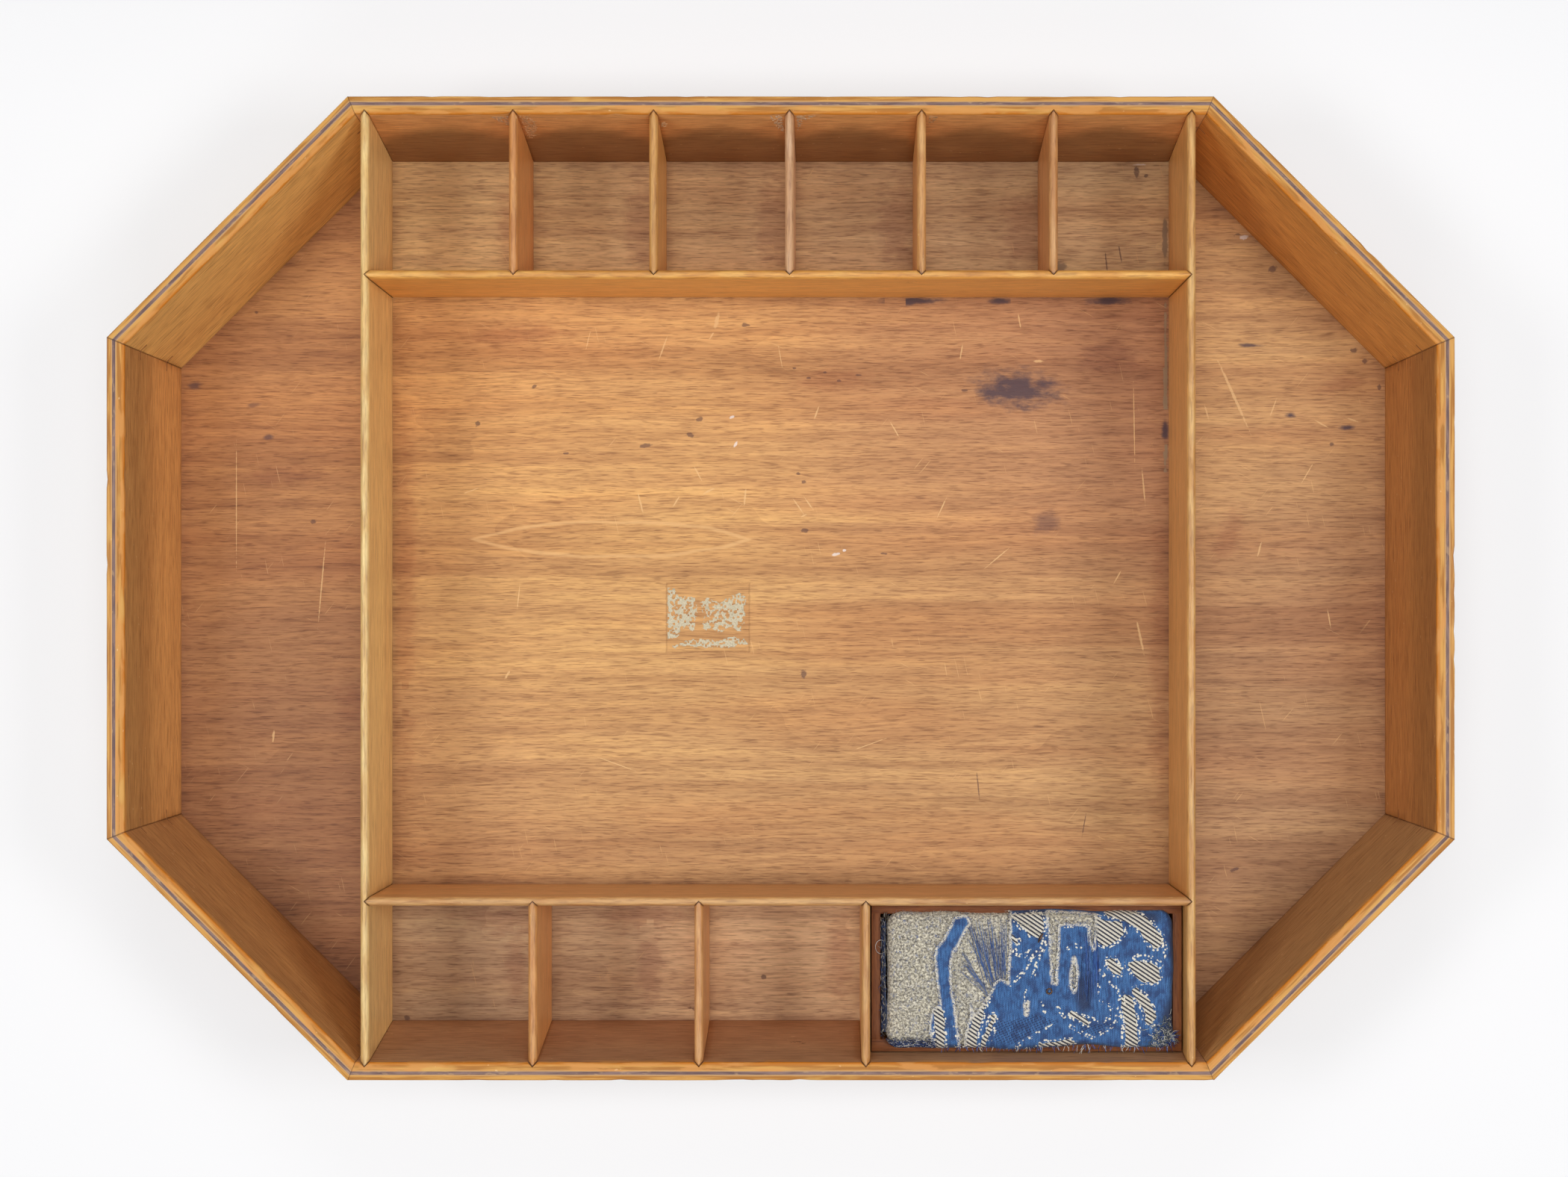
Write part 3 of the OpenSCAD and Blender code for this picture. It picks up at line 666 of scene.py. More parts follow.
# Scratches and small spots: x, y, half length, half width in millimetres, turn in degrees, and kind:
# 0 dark, 1 light scratch, 2 white
MARKS = (
    (161.7, 70.2, 15.5, 0.6, 114, 1), (-23.8, 97, 3.6, 0.9, 78, 1), (-25.5, 92, 2.4, 0.35, 60, 1),
    (-43, 87.5, 5.5, 0.35, 70, 1), (-18.4, 62.5, 1.1, 0.7, 20, 2), (-17.1, 52.6, 1.5, 0.6, 60, 2),
    (19, 13.2, 1.8, 0.7, 10, 2), (22, 14.6, 0.9, 0.5, 0, 2), (-30, 61.6, 1.6, 0.9, 20, 0),
    (-33.3, 56, 1.7, 1.0, -30, 0), (-49.5, 52.2, 2.8, 0.9, 4, 0), (-78, 49.4, 1.3, 0.5, 0, 0),
    (-89.4, 73.4, 1.2, 0.8, 40, 0), (-109.6, 60, 1.3, 1.1, 60, 0), (-13.5, 95.5, 1.9, 0.9, 0, 0),
    (-51.2, 31.5, 4.6, 0.4, -76, 1), (-38.5, 32, 2.4, 0.35, 58, 1), (-26.5, 36, 2.8, 0.45, 28, 1),
    (-13.7, 33.5, 3.8, 0.4, 84, 1), (-30.5, 42, 3.6, 0.3, -62, 1), (5.4, 42.2, 0.9, 0.6, 0, 0),
    (7.4, 39.2, 1.1, 0.7, 0, 0), (7.8, 21.8, 1.6, 1.0, 0, 0), (7.4, -29.8, 1.3, 1.8, 0, 0),
    (36.2, 13.5, 1.5, 0.5, 0, 0), (65, 72, 1.4, 0.6, 0, 0), (5.4, 30.5, 3.8, 0.3, -55, 1),
    (9.2, 31.4, 3.2, 0.3, -55, 1), (7.6, 27.2, 2.0, 0.3, 28, 1), (4, 80, 0.8, 0.5, 0, 0),
    (9, 76.5, 1.0, 0.5, 0, 0), (15, 78.5, 0.8, 0.5, 0, 0), (20, 75.5, 1.1, 0.5, 0, 0),
    (27, 77.5, 1.3, 0.5, 0, 0), (129.4, 37.3, 7.5, 0.35, 95, 1), (126, 60, 17, 0.25, 91, 1),
    (128.2, -16.5, 7, 0.5, 102, 1), (139, -34, 1.5, 0.5, 90, 1), (120, 5, 3, 0.3, 60, 1),
    (-183, -52, 2.5, 0.5, 85, 1), (-165.6, 3, 17, 0.3, 85, 1), (-196.3, 31, 25, 0.22, 90, 1),
    (-168.7, 24.9, 1.2, 1.0, 0, 0), (-189, 100, 0.8, 0.6, 0, 0), (205, 86.4, 1.6, 1.1, 0, 0),
    (208.9, 82.6, 1.3, 1.0, 0, 0), (175.6, 115.6, 1.9, 1.4, 30, 0), (214, 73.3, 0.9, 1.3, 0, 0),
    (165.4, 127, 1.8, 1.0, 10, 2), (163, 127.4, 1.5, 1.2, 10, 0), (-135, -153.2, 1.3, 1.1, 0, 0),
    (-7, -138.5, 1.2, 1.1, 0, 0), (162, -100, 2.2, 0.7, 20, 0), (176, 66, 4, 0.3, 70, 1),
    (193.1, 60.1, 3.2, 0.35, -30, 1), (204.2, 61.5, 2.6, 0.35, -20, 1), (152, 64.2, 3.4, 0.4, 105, 1),
    (197, 52.7, 1.0, 0.9, 0, 0), (188, 42, 5, 0.28, 60, 1), (171, 15, 3.4, 0.4, 75, 1),
    (196, -10, 4.2, 0.28, 100, 1), (-95, -2, 5.2, 0.25, 84, 1), (-99, -30, 2.2, 0.5, 60, 1),
    (70, -70, 6, 0.3, 96, 0.2), (31, -55, 8, 0.2, 20, 1), (-60, -62, 9, 0.22, -20, 1),
    (57, 30, 5, 0.28, 65, 1), (77, 12, 6.5, 0.25, 40, 1), (40, 58, 4, 0.28, 120, 1),
    (12, 64, 3, 0.35, 70, 1), (84.8, 97, 3.2, 0.35, 100, 1), (64, 86, 3.4, 0.3, 80, 1),
    (91.7, 82.5, 2.0, 0.6, 0, 1), (-70, 90, 3.8, 0.25, 76, 1), (-1, 84, 4.4, 0.22, 100, 1),
    (-112, 36, 3.5, 0.25, 20, 1), (108, -84, 5, 0.25, 80, 0.2), (128, 152.9, 2.8, 0.5, 2, 2),
    (126.9, 150.4, 1.1, 2.6, 4, 0), (130.3, 149, 0.9, 0.8, 0, 0), (116, 118, 4.5, 0.35, 96, 0.2),
    (121, 121, 3.5, 0.35, 100, 0.2), (-45, 128, 4, 0.25, 70, 1), (-30, 118, 3, 0.2, 30, 1),
    (60, 140, 5, 0.22, 20, 1), (10, 150, 3, 0.25, 60, 1), (-100, 120, 3, 0.2, 120, 1),
)


def nearest_marks(centres, marks):
    """For each face centre, the mark whose line lies nearest."""
    best = np.full(len(centres), 1e9)
    chosen = np.zeros(len(centres), int)
    for i, (x, y, half_l, half_w, turn, _) in enumerate(marks):
        along = np.array([math.cos(math.radians(turn)), math.sin(math.radians(turn))])
        away = centres - np.array([x, y]) * MM
        run = np.clip(away @ along, -half_l * MM, half_l * MM)
        gap = np.linalg.norm(away - run[:, None] * along, axis=1) - half_w * MM
        chosen = np.where(gap < best, i, chosen)
        best = np.minimum(best, gap)
    return chosen


def mark_attribute(mesh, name, marks):
    """Each face corner's place in its nearest mark's own frame, where the mark is a unit circle."""
    points = points_of(mesh)[:, :2]
    corners = np.zeros(len(mesh.loops), int)
    mesh.loops.foreach_get("vertex_index", corners)
    counts = np.zeros(len(mesh.polygons), int)
    mesh.polygons.foreach_get("loop_total", counts)
    centres = np.zeros(len(mesh.polygons) * 3)
    mesh.polygons.foreach_get("center", centres)
    chosen = np.repeat(nearest_marks(centres.reshape(-1, 3)[:, :2], marks), counts)
    table = np.array(marks, float)[chosen]
    turn = np.radians(table[:, 4])
    away = points[corners] / MM - table[:, :2]
    u = (away[:, 0] * np.cos(turn) + away[:, 1] * np.sin(turn)) / table[:, 2]
    v = (away[:, 1] * np.cos(turn) - away[:, 0] * np.sin(turn)) / table[:, 3]
    set_attribute(mesh, name, np.stack([u, v, table[:, 5]], axis=1), domain="CORNER")


def plan_outline(node):
    """The eight corners of a node seen from above, in order."""
    corners = {(round(p[0], 5), round(p[1], 5)) for p in points_of(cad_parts[node].data)}
    low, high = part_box(node)
    span = max(high.x - low.x, high.y - low.y)
    kept = []
    for turn in range(0, 360, 45):
        a = math.radians(turn)
        facing = np.array([math.cos(a), math.sin(a)])
        best = max(p[0] * facing[0] + p[1] * facing[1] for p in corners)
        kept += [p for p in corners if p[0] * facing[0] + p[1] * facing[1] > best - span * 1e-4]
    kept = sorted(set(kept), key=lambda p: math.atan2(p[1], p[0]))
    return [Vector((x, y, 0)) for x, y in kept]


def compartment(points):
    """Which part of the tray points lie in: a wing, a row of cells or the middle."""
    left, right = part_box("left_cross_divider")[0].x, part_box("right_cross_divider")[1].x
    front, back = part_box("front_row_divider")[0].y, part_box("back_row_divider")[1].y
    sides = np.where(points[:, 0] < left, -2, 0) + np.where(points[:, 0] > right, 2, 0)
    rows = np.where(points[:, 1] < front, -1, 0) + np.where(points[:, 1] > back, 1, 0)
    return np.where(sides != 0, sides, rows)


def floor_colours(points):
    """The floor's colour at each point, partly painted light, blended between the places where it is known.
    """
    at = np.array([(x, y) for x, y, _ in FLOOR_TONES]) * MM
    colours = np.array([srgb(*colour) for _, _, colour in FLOOR_TONES])
    reach = 38 * MM
    squares = ((points[:, None, :2] - at[None]) ** 2).sum(2)
    squares += (compartment(points)[:, None] != compartment(at)[None]) * 1.0
    weights = np.exp(-squares / (2 * reach ** 2)) + 1e-9
    return (weights @ colours) / weights.sum(1)[:, None]


def painted_foot_shade(points):
    """How much painted shade falls on the floor: 1 beside the foot of a wall or partition, falling to 0
    within a few millimetres.
    """
    nearest = np.full(len(points), 1.0)
    for name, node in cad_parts.items():
        if name.endswith("divider") or "_cell_divider_" in name:
            low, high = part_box(name)
            gap_x = np.maximum(0, np.maximum(low.x - points[:, 0], points[:, 0] - high.x))
            gap_y = np.maximum(0, np.maximum(low.y - points[:, 1], points[:, 1] - high.y))
            nearest = np.minimum(nearest, np.hypot(gap_x, gap_y))
    for name in WALLS:
        wall = Wall(name)
        foot = wall.rim_distance - WALL_T - wall.slope * WALL_HEIGHT
        nearest = np.minimum(nearest, np.maximum(0, foot - points @ wall.out))
    return np.exp(-nearest / (2.2 * MM)) * 0.8 + np.exp(-nearest / (9 * MM)) * 0.2


def floor_panel(material):
    """The floor veneer as a fine grid, cut to the outline of its node."""
    low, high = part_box("base_top_ply")
    step = 2.5 * MM
    across, down = int((high.x - low.x) / step), int((high.y - low.y) / step)
    bm = bmesh.new()
    rows = []
    for j in range(down + 1):
        y = low.y + (high.y - low.y) * j / down
        row = [(low.x + (high.x - low.x) * i / across, y, high.z) for i in range(across + 1)]
        rows.append([bm.verts.new(place) for place in row])
    for j in range(down):
        for i in range(across):
            bm.faces.new((rows[j][i], rows[j][i + 1], rows[j + 1][i + 1], rows[j + 1][i]))
    corners = plan_outline("base_top_ply")
    for a, b in zip(corners, corners[1:] + corners[:1]):
        side = (b - a).cross(Vector((0, 0, 1)))
        if min(abs(side.x), abs(side.y)) < 1e-6:
            continue
        cut_with(bm, a, side, clear_outer=True)
    rim = [e for e in bm.edges if e.is_boundary]
    skirt = bmesh.ops.extrude_edge_only(bm, edges=rim)["geom"]
    lower = [v for v in skirt if isinstance(v, bmesh.types.BMVert)]
    for vertex in lower:
        vertex.co.z = low.z
    bmesh.ops.contextual_create(bm, geom=[e for e in bm.edges if e.is_boundary])
    mesh = to_mesh(bm, "base_top_ply")
    points = points_of(mesh)
    set_attribute(mesh, "grain", points)
    set_attribute(mesh, "tint", floor_colours(points), "FLOAT_COLOR")
    set_attribute(mesh, "dirt", painted_foot_shade(points), "FLOAT")
    mark_attribute(mesh, "stain", STAINS_AND_SHADE)
    mark_attribute(mesh, "mark", MARKS)
    return add_piece("base_top_ply_wood", mesh, "tray", material, ["base_top_ply"])


# ---------------------------------------------------------------- pincushion

# The cushion's cloth is drawn flat, in millimetres: u from the box's left side, v from its back.
BOX_LEFT, BOX_BACK = 31.1, -108.7
CLOTH_LEFT, CLOTH_RIGHT, CLOTH_BACK, CLOTH_FRONT = 35.8, 134.6, -110.5, -157.6
CLOTH_TURN, CLOTH_CORNER = 2.2, 5.0       # radius of the roll at the edges, and of the corners from above
SKIRT = 13.0                              # how far the cloth goes past the corner circles' centres

# Torn pieces of the brocade, as outlines
MAIN_BROCADE = (
    (47.5, -20), (47.3, 10), (46.9, 20), (46.6, 26.5), (44.6, 24.8), (42.7, 25.6), (39.9, 30.8),
    (36.9, 35.2), (34.0, 38.6), (32.6, 42.0), (31.6, 45.6), (31.2, 70), (125, 70), (125, -20),
)
STRIP = (
    (28.2, 3.8), (33.0, 3.2), (34.0, 6.2), (31.6, 10.4), (28.4, 16.0), (27.2, 21), (27.4, 26), (28.2, 31),
    (29.0, 37), (30.2, 45), (30.6, 70), (21.2, 70), (20.2, 46), (19.7, 41), (20.6, 35.6), (23.4, 34.0),
    (22.9, 30), (22.0, 25), (21.7, 20), (21.6, 14.6), (24.8, 11.4), (26.4, 8.0),
)
FLAME = ((33.6, 33.0), (35.4, 36.8), (35.0, 40.2), (32.6, 42.8), (33.9, 37.6))
SLITS = (
    ((60.4, 2.6), (75.6, 2.8), (75.7, 6.2), (60.6, 6.0)),
    ((61.2, 3.0), (64.2, 3.0), (63.6, 16.0), (63.0, 26.6), (62.2, 26.4), (61.6, 14.0)),
    ((74.6, 3.0), (76.7, 3.0), (76.6, 9.0), (76.0, 15.0), (75.2, 12.0)),
    ((69.3, 18.0), (70.2, 21.0), (70.0, 27.0), (69.2, 29.4), (68.4, 27.4), (69.0, 22.6)),
    ((52.9, 33.6), (53.5, 33.4), (53.4, 36.6), (53.1, 37.2)),
)
# White leaves: outlines, then ribbons given as a middle line and a half width
LEAVES = (
    ((47.0, 3.4), (50.0, 2.6), (57.2, 2.4), (59.0, 5.4), (59.2, 8.2), (57.4, 11.4), (53.6, 9.6),
     (50.6, 6.4)),
    ((75.6, 2.6), (80.0, 5.0), (85.6, 5.6), (86.9, 9.4), (84.2, 12.2), (80.6, 14.2), (77.4, 12.6),
     (75.9, 8.0)),
    ((87.8, 19.8), (92.0, 18.6), (98.0, 20.6), (99.2, 25.0), (97.4, 26.6), (93.0, 26.2), (89.6, 23.6)),
    ((80.6, 18.4), (82.6, 18.0), (85.8, 21.6), (85.2, 23.8), (83.0, 23.6), (80.6, 20.8)),
    ((47.6, 9.4), (50.4, 11.8), (50.2, 13.4), (47.8, 11.6)),
)
LEAF_BANDS = (
    (((82.8, 1.5), (88.5, 3.4), (93.6, 6.6), (97.6, 12.2)), 2.5),
    (((87.6, 32.6), (88.8, 40.0), (89.4, 45.0), (89.4, 60)), 2.1),
    (((90.6, 29.6), (93.6, 33.0), (96.0, 37.6), (95.2, 39.4)), 1.5),
    (((39.4, 29.0), (37.4, 34.0), (36.0, 39.4), (34.6, 44.0), (34.2, 60)), 1.6),
    (((23.0, 36.6), (23.4, 42.0), (23.8, 60)), 1.7),
    (((41.6, 38.2), (40.8, 42.0), (38.6, 46.4), (38.2, 55)), 0.8),
    (((68.8, 37.0), (73.6, 40.0)), 0.9),
    (((58.4, 47.8), (69.0, 47.4)), 0.9),
)
# Lines of white beads
DOTTED_LINES = (
    ((61.8, 8.0), (59.0, 14.6), (56.6, 19.6), (55.2, 25.0)),
    ((60.0, 10.0), (55.6, 16.8), (52.0, 22.8), (47.6, 27.0)),
    ((99.2, 9.8), (101.0, 14.9), (99.6, 20.0)), ((87.4, 19.4), (91.6, 17.0), (96.8, 17.6), (99.4, 21.4)),
    ((81.6, 34.0), (83.2, 37.6), (78.8, 40.0), (74.0, 38.2)),
    ((67.8, 41.2), (75.8, 45.8), (81.6, 42.2), (85.6, 38.0)), ((50.0, 47.8), (56.0, 44.2), (62.0, 41.2)),
    ((48.4, 11.4), (50.2, 13.6), (48.6, 16.2), (52.2, 17.4), (55.2, 14.2)),
    ((77.8, 22.0), (83.6, 28.0), (87.0, 33.0)), ((96.6, 39.0), (97.4, 55.0)), ((63.8, 35.0), (66.0, 38.0)),
    ((19.8, 42.0), (20.8, 56.0)), ((28.6, 41.4), (29.8, 56.0)), ((66.4, 7.0), (74.6, 6.8)),
    ((83.4, 33.0), (86.2, 42.0), (86.4, 50)), ((67.4, 14.6), (69.4, 13.2), (71.6, 14.6)),
    ((42.8, 38.0), (42.4, 42.0), (40.6, 46.0)), ((52.6, 29.0), (53.2, 34.4)),
    ((58.6, 33.4), (59.2, 36.4)), ((77.6, 27.0), (78.8, 33.4)),
)
# Darker patches, partly a darker blue in the cloth and partly painted shade where the cloth turns down at
# the cushion's edges: x, y, half length and half width
NAVY_AND_SHADE_PATCHES = (
    (53.0, 4.0, 6.5, 3.0), (94.5, 4.5, 6.0, 2.6), (104.0, 12.0, 2.6, 14.0), (57.5, 3.0, 3.5, 2.4),
    (33, 48, 4, 3), (102.0, 40.0, 3.0, 9.0), (72.6, 30.0, 3.6, 9.0), (68.0, 49.5, 22.0, 2.2),
    (28.5, 49.5, 10.0, 2.0),
)
# Parts with a small all-over pattern
SEED_ZONES = (
    ((39.6, 37.6), (46, 39.6), (56, 37.2), (64.6, 39.6), (61, 41.6), (55, 44.0), (48, 47.4), (42.6, 46.6)),
    ((70.0, 39.4), (76.0, 41.0), (83.6, 39.4), (80.6, 43.0), (76.0, 45.0), (71.6, 43.0)),
)


def outline_distance(points, outline, closed=True):
    """Distance from points to an outline; for a closed one, positive inside and negative outside."""
    corners = np.array(outline, float)
    last = len(corners) if closed else len(corners) - 1
    nearest = np.full(len(points), 1e9)
    inside = np.zeros(len(points), bool)
    for i in range(last):
        a, b = corners[i], corners[(i + 1) % len(corners)]
        run = b - a
        share = np.clip(((points - a) @ run) / (run @ run), 0, 1)
        away = points - a - share[:, None] * run
        nearest = np.minimum(nearest, np.hypot(away[:, 0], away[:, 1]))
        if closed:
            spans = (a[1] > points[:, 1]) != (b[1] > points[:, 1])
            rise = run[1] if abs(run[1]) > 1e-9 else 1e-9
            inside ^= spans & (points[:, 0] < a[0] + (points[:, 1] - a[1]) * run[0] / rise)
    if closed:
        return np.where(inside, nearest, -nearest)
    return nearest


def field(points, scale, seed, octaves=1):
    """Smooth noise from about -1 to 1 at flat points given in millimetres."""
    total = np.zeros(len(points))
    for octave in range(octaves):
        size = scale / 2 ** octave
        shift = (13.1 * seed, 7.7 * seed, 3.3 * seed + 5.1 * octave)
        total += np.array([noise.noise((p[0] / size + shift[0], p[1] / size + shift[1], shift[2]))
                           for p in points]) * 0.6 ** octave
    return total


def grid_quads(shape):
    """The corners of every square in a grid of points, by rows and columns."""
    index = np.arange(shape[0] * shape[1]).reshape(shape)
    corners = (index[:-1, :-1], index[1:, :-1], index[1:, 1:], index[:-1, 1:])
    return np.stack(corners, axis=-1).reshape(-1, 4)


def both_sides(quads, count):
    """The faces of a closed sheet: its squares, the same ones below them, and the rim between."""
    faces = [tuple(int(i) for i in quad) for quad in quads]
    sides = dict.fromkeys((a, b) for quad in faces for a, b in zip(quad, quad[1:] + quad[:1]))
    rim = [(b, a, a + count, b + count) for a, b in sides if (b, a) not in sides]
    under = [tuple(i + count for i in reversed(quad)) for quad in faces]
    return faces, under, rim


def cushion_surface(flat, sink):
    """Where points of the flat cloth lie on the cushion, in metres, a little below the outer surface."""
    middle = np.array([(CLOTH_LEFT + CLOTH_RIGHT) / 2, (CLOTH_BACK + CLOTH_FRONT) / 2])
    half = np.array([(CLOTH_RIGHT - CLOTH_LEFT) / 2, (CLOTH_BACK - CLOTH_FRONT) / 2]) - sink
    at = np.stack([flat[:, 0] + BOX_LEFT, BOX_BACK - flat[:, 1]], axis=1) - middle
    inner = half - CLOTH_CORNER
    core = np.clip(at, -inner, inner)
    past = at - core
    reach = np.maximum(np.hypot(past[:, 0], past[:, 1]), 1e-9)
    facing = past / reach[:, None]
    level = CLOTH_CORNER - CLOTH_TURN
    turn = np.clip((reach - level) / CLOTH_TURN, 0, math.pi / 2)
    rest = np.maximum(reach - level - CLOTH_TURN * math.pi / 2, 0)
    tuck = np.clip(rest / 1.8, 0, 1)
    tuck = tuck * tuck * (3 - 2 * tuck)
    front = np.clip(-facing[:, 1], 0, 1)
    out = np.minimum(reach, level) + CLOTH_TURN * np.sin(turn)
    out = out - tuck * (1.9 + 0.9 * front) - 0.15 * front * rest
    drop = CLOTH_TURN * (1 - np.cos(turn)) + np.where(rest < 1.8, 0.55 * rest, rest - 0.81)
    plan = core + facing * out[:, None]
    share = np.clip(plan / half, -1, 1)
    crown = 1.5 * (1 - share[:, 0] ** 4) * (1 - share[:, 1] ** 2)
    swell = field(flat, 14, 3.1) * 0.35 + field(flat, 6, 8.7) * 0.16
    edge = np.clip((reach - 1) / 4, 0, 1)
    wave = field(flat, 9, 5.3) * 0.55 * edge
    sag = 0.9 * np.exp(-((flat[:, 0] - 75) / 9) ** 2) - 0.5 * np.exp(-((flat[:, 0] - 50) / 16) ** 2)
    plan += facing * wave[:, None]
    plan[:, 1] += sag * np.clip(share[:, 1] * -1, 0, 1) ** 6
    pull = 0.5 * np.exp(-((flat[:, 0] - 60.8) ** 2 + (flat[:, 1] - 30) ** 2) / 9)
    height = 46.1 - sink + crown + swell * (1 - edge) - drop - pull
    return np.column_stack([plan + middle, height]) * MM


def cloth_sheet(name, step, sink, kept, thickness, relief, material, node):
    """A sheet of cloth on the cushion, kept where a distance is positive and brought to that line."""
    hem = 9
    u = np.arange(CLOTH_LEFT - BOX_LEFT - hem, CLOTH_RIGHT - BOX_LEFT + hem, step)
    v = np.arange(BOX_BACK - CLOTH_BACK - hem, BOX_BACK - CLOTH_FRONT + hem, step)
    grid_u, grid_v = np.meshgrid(u, v)
    flat = np.stack([grid_u.ravel(), grid_v.ravel()], axis=1)
    distance = kept(flat)
    quads = grid_quads(grid_u.shape)
    quads = quads[(distance[quads].max(axis=1) > 0) & (distance[quads].mean(axis=1) > -0.35 * step)]
    nudge = 0.05
    slope_u = (kept(flat + (nudge, 0)) - distance) / nudge
    slope_v = (kept(flat + (0, nudge)) - distance) / nudge
    users = np.bincount(quads.ravel(), minlength=len(flat))
    movable = (users > 0) & (users < 4) & (np.abs(distance) < step * 0.75)
    shift = np.where(movable, distance, 0)
    flat = flat - np.stack([slope_u * shift, slope_v * shift], axis=1)
    used, quads = np.unique(quads, return_inverse=True)
    quads = quads.reshape(-1, 4)
    flat = flat[used]
    points = cushion_surface(flat, sink)
    middle = bpy.data.meshes.new("cloth_middle")
    middle.from_pydata(points.tolist(), [], quads.tolist())
    normals = np.zeros(len(points) * 3)
    middle.vertex_normals.foreach_get("vector", normals)
    bpy.data.meshes.remove(middle)
    normals = normals.reshape(-1, 3)
    top = points + normals * (relief(flat)[:, None] * MM)
    low = top - normals * thickness * MM
    faces, under, rim = both_sides(quads, len(points))
    mesh = bpy.data.meshes.new(name)
    mesh.from_pydata(np.concatenate([top, low]).tolist(), [], faces + under + rim)
    set_attribute(mesh, "cloth", np.column_stack([np.tile(flat, (2, 1)), np.tile(kept(flat), 2)]))
    piece = add_piece(name, mesh, "pincushion_box", material, [node], smooth_angle=60)
    return piece, flat, len(quads) * step * step


def skirt_distance(flat):
    """Positive within the cloth's own cut, a rectangle with rounded corners."""
    low = np.array([CLOTH_LEFT - BOX_LEFT, BOX_BACK - CLOTH_BACK]) + CLOTH_CORNER
    high = np.array([CLOTH_RIGHT - BOX_LEFT, BOX_BACK - CLOTH_FRONT]) - CLOTH_CORNER
    past = flat - np.clip(flat, low, high)
    return SKIRT - np.hypot(past[:, 0], past[:, 1])


def brocade_distance(flat):
    """Positive on the brocade, and zero along its torn edges."""
    ragged = flat + np.stack([field(flat, 2.2, 1.3), field(flat, 2.2, 4.9)], axis=1) * 0.45
    cloth = np.maximum(outline_distance(ragged, MAIN_BROCADE), outline_distance(ragged, STRIP))
    cloth = np.maximum(cloth, outline_distance(ragged, FLAME))
    for slit in SLITS:
        cloth = np.minimum(cloth, -outline_distance(ragged, slit))
    return np.minimum(cloth, skirt_distance(flat))


def leaf_distance(flat):
    """Positive inside the white leaves of the brocade."""
    wavy = flat + np.stack([field(flat, 2.4, 2.2, 2), field(flat, 2.4, 6.4, 2)], axis=1) * 0.55
    best = np.full(len(flat), -99.0)
    for leaf in LEAVES:
        best = np.maximum(best, outline_distance(wavy, leaf))
    for line, half_width in LEAF_BANDS:
        best = np.maximum(best, half_width - outline_distance(wavy, line, closed=False))
    return best


def thread_mesh(name, paths, radii, colours):
    """Many thin threads in one mesh, each a three-sided tube along its own path."""
    points, faces, tints = [], [], []
    for path, radius, colour in zip(paths, radii, colours):
        path = np.asarray(path, float)
        start = len(points)
        for i, here in enumerate(path):
            ahead = path[min(i + 1, len(path) - 1)] - path[max(i - 1, 0)]
            ahead = ahead / (np.linalg.norm(ahead) + 1e-9)
            side = np.cross(ahead, [0.31, 0.17, 0.93])
            side = side / (np.linalg.norm(side) + 1e-9)
            other = np.cross(ahead, side)
            taper = radius * (0.45 if i in (0, len(path) - 1) else 1.0)
            for turn in (0.3, 2.4, 4.5):
                points.append(here + (side * math.cos(turn) + other * math.sin(turn)) * taper)
                tints.append(colour)
        for i in range(len(path) - 1):
            for j in range(3):
                a, b = start + 3 * i + j, start + 3 * i + (j + 1) % 3
                faces.append((a, b, b + 3, a + 3))
        faces.append((start + 2, start + 1, start))
        end = start + 3 * (len(path) - 1)
        faces.append((end, end + 1, end + 2))
    mesh = bpy.data.meshes.new(name)
    mesh.from_pydata([tuple(p) for p in points], [], faces)
    set_attribute(mesh, "tint", tints, "FLOAT_COLOR")
    return mesh


def surface_path(flat_path, lift):
    """A path drawn on the flat cloth, carried onto the cushion and lifted off it, in metres."""
    placed = cushion_surface(np.asarray(flat_path, float), 0.0)
    placed[:, 2] += np.asarray(lift) * MM
    return placed


def cloth_coordinates(s):
    """The flat cloth's own coordinates in millimetres, apart and together, and the distance to its edge."""
    u, v, edge = s.split(s.attribute("cloth"))
    return u, v, s.flat(u, v), edge


def waves(s, a, b, share_a, share_b, length):
    """A sine wave across the cloth, along a direction given by two shares."""
    across = s.math("ADD", s.math("MULTIPLY", a, share_a), s.math("MULTIPLY", b, share_b))
    return s.math("SINE", s.math("MULTIPLY", across, 2 * math.pi / length))


def wool_material():
    """Coarse grey cloth of pale, dark and bluish fibres."""
    s = Surface("grey_wool_cloth", Roughness=0.95, Sheen_Weight=0.15)
    _, _, flat, _ = cloth_coordinates(s)
    grain = s.speckle(flat, (1.25, 1.25, 1), detail=3.0, roughness=0.75)
    fleck = s.speckle(flat, (2.0, 1.6, 1), roughness=0.8)
    tone = s.speckle(flat, (0.16, 0.16, 1), detail=3.0)
    blue = s.speckle(flat, (0.75, 0.6, 1), detail=4.0, roughness=0.7)
    colour = s.mix(s.ramp(grain, 0.38, 0.62), srgb(122, 116, 104), srgb(228, 220, 198))
    colour = s.times(s.ramp(fleck, 0.52, 0.64, 0, 0.85), colour, (0.42, 0.42, 0.45))
    colour = s.mix(s.ramp(blue, 0.54, 0.68, 0, 0.75), colour, srgb(98, 112, 150))
    colour = s.times(s.ramp(tone, 0.40, 0.66, 0, 0.5), colour, (0.84, 0.86, 0.92))
    return s.finish(colour, grain, depth=0.0004)


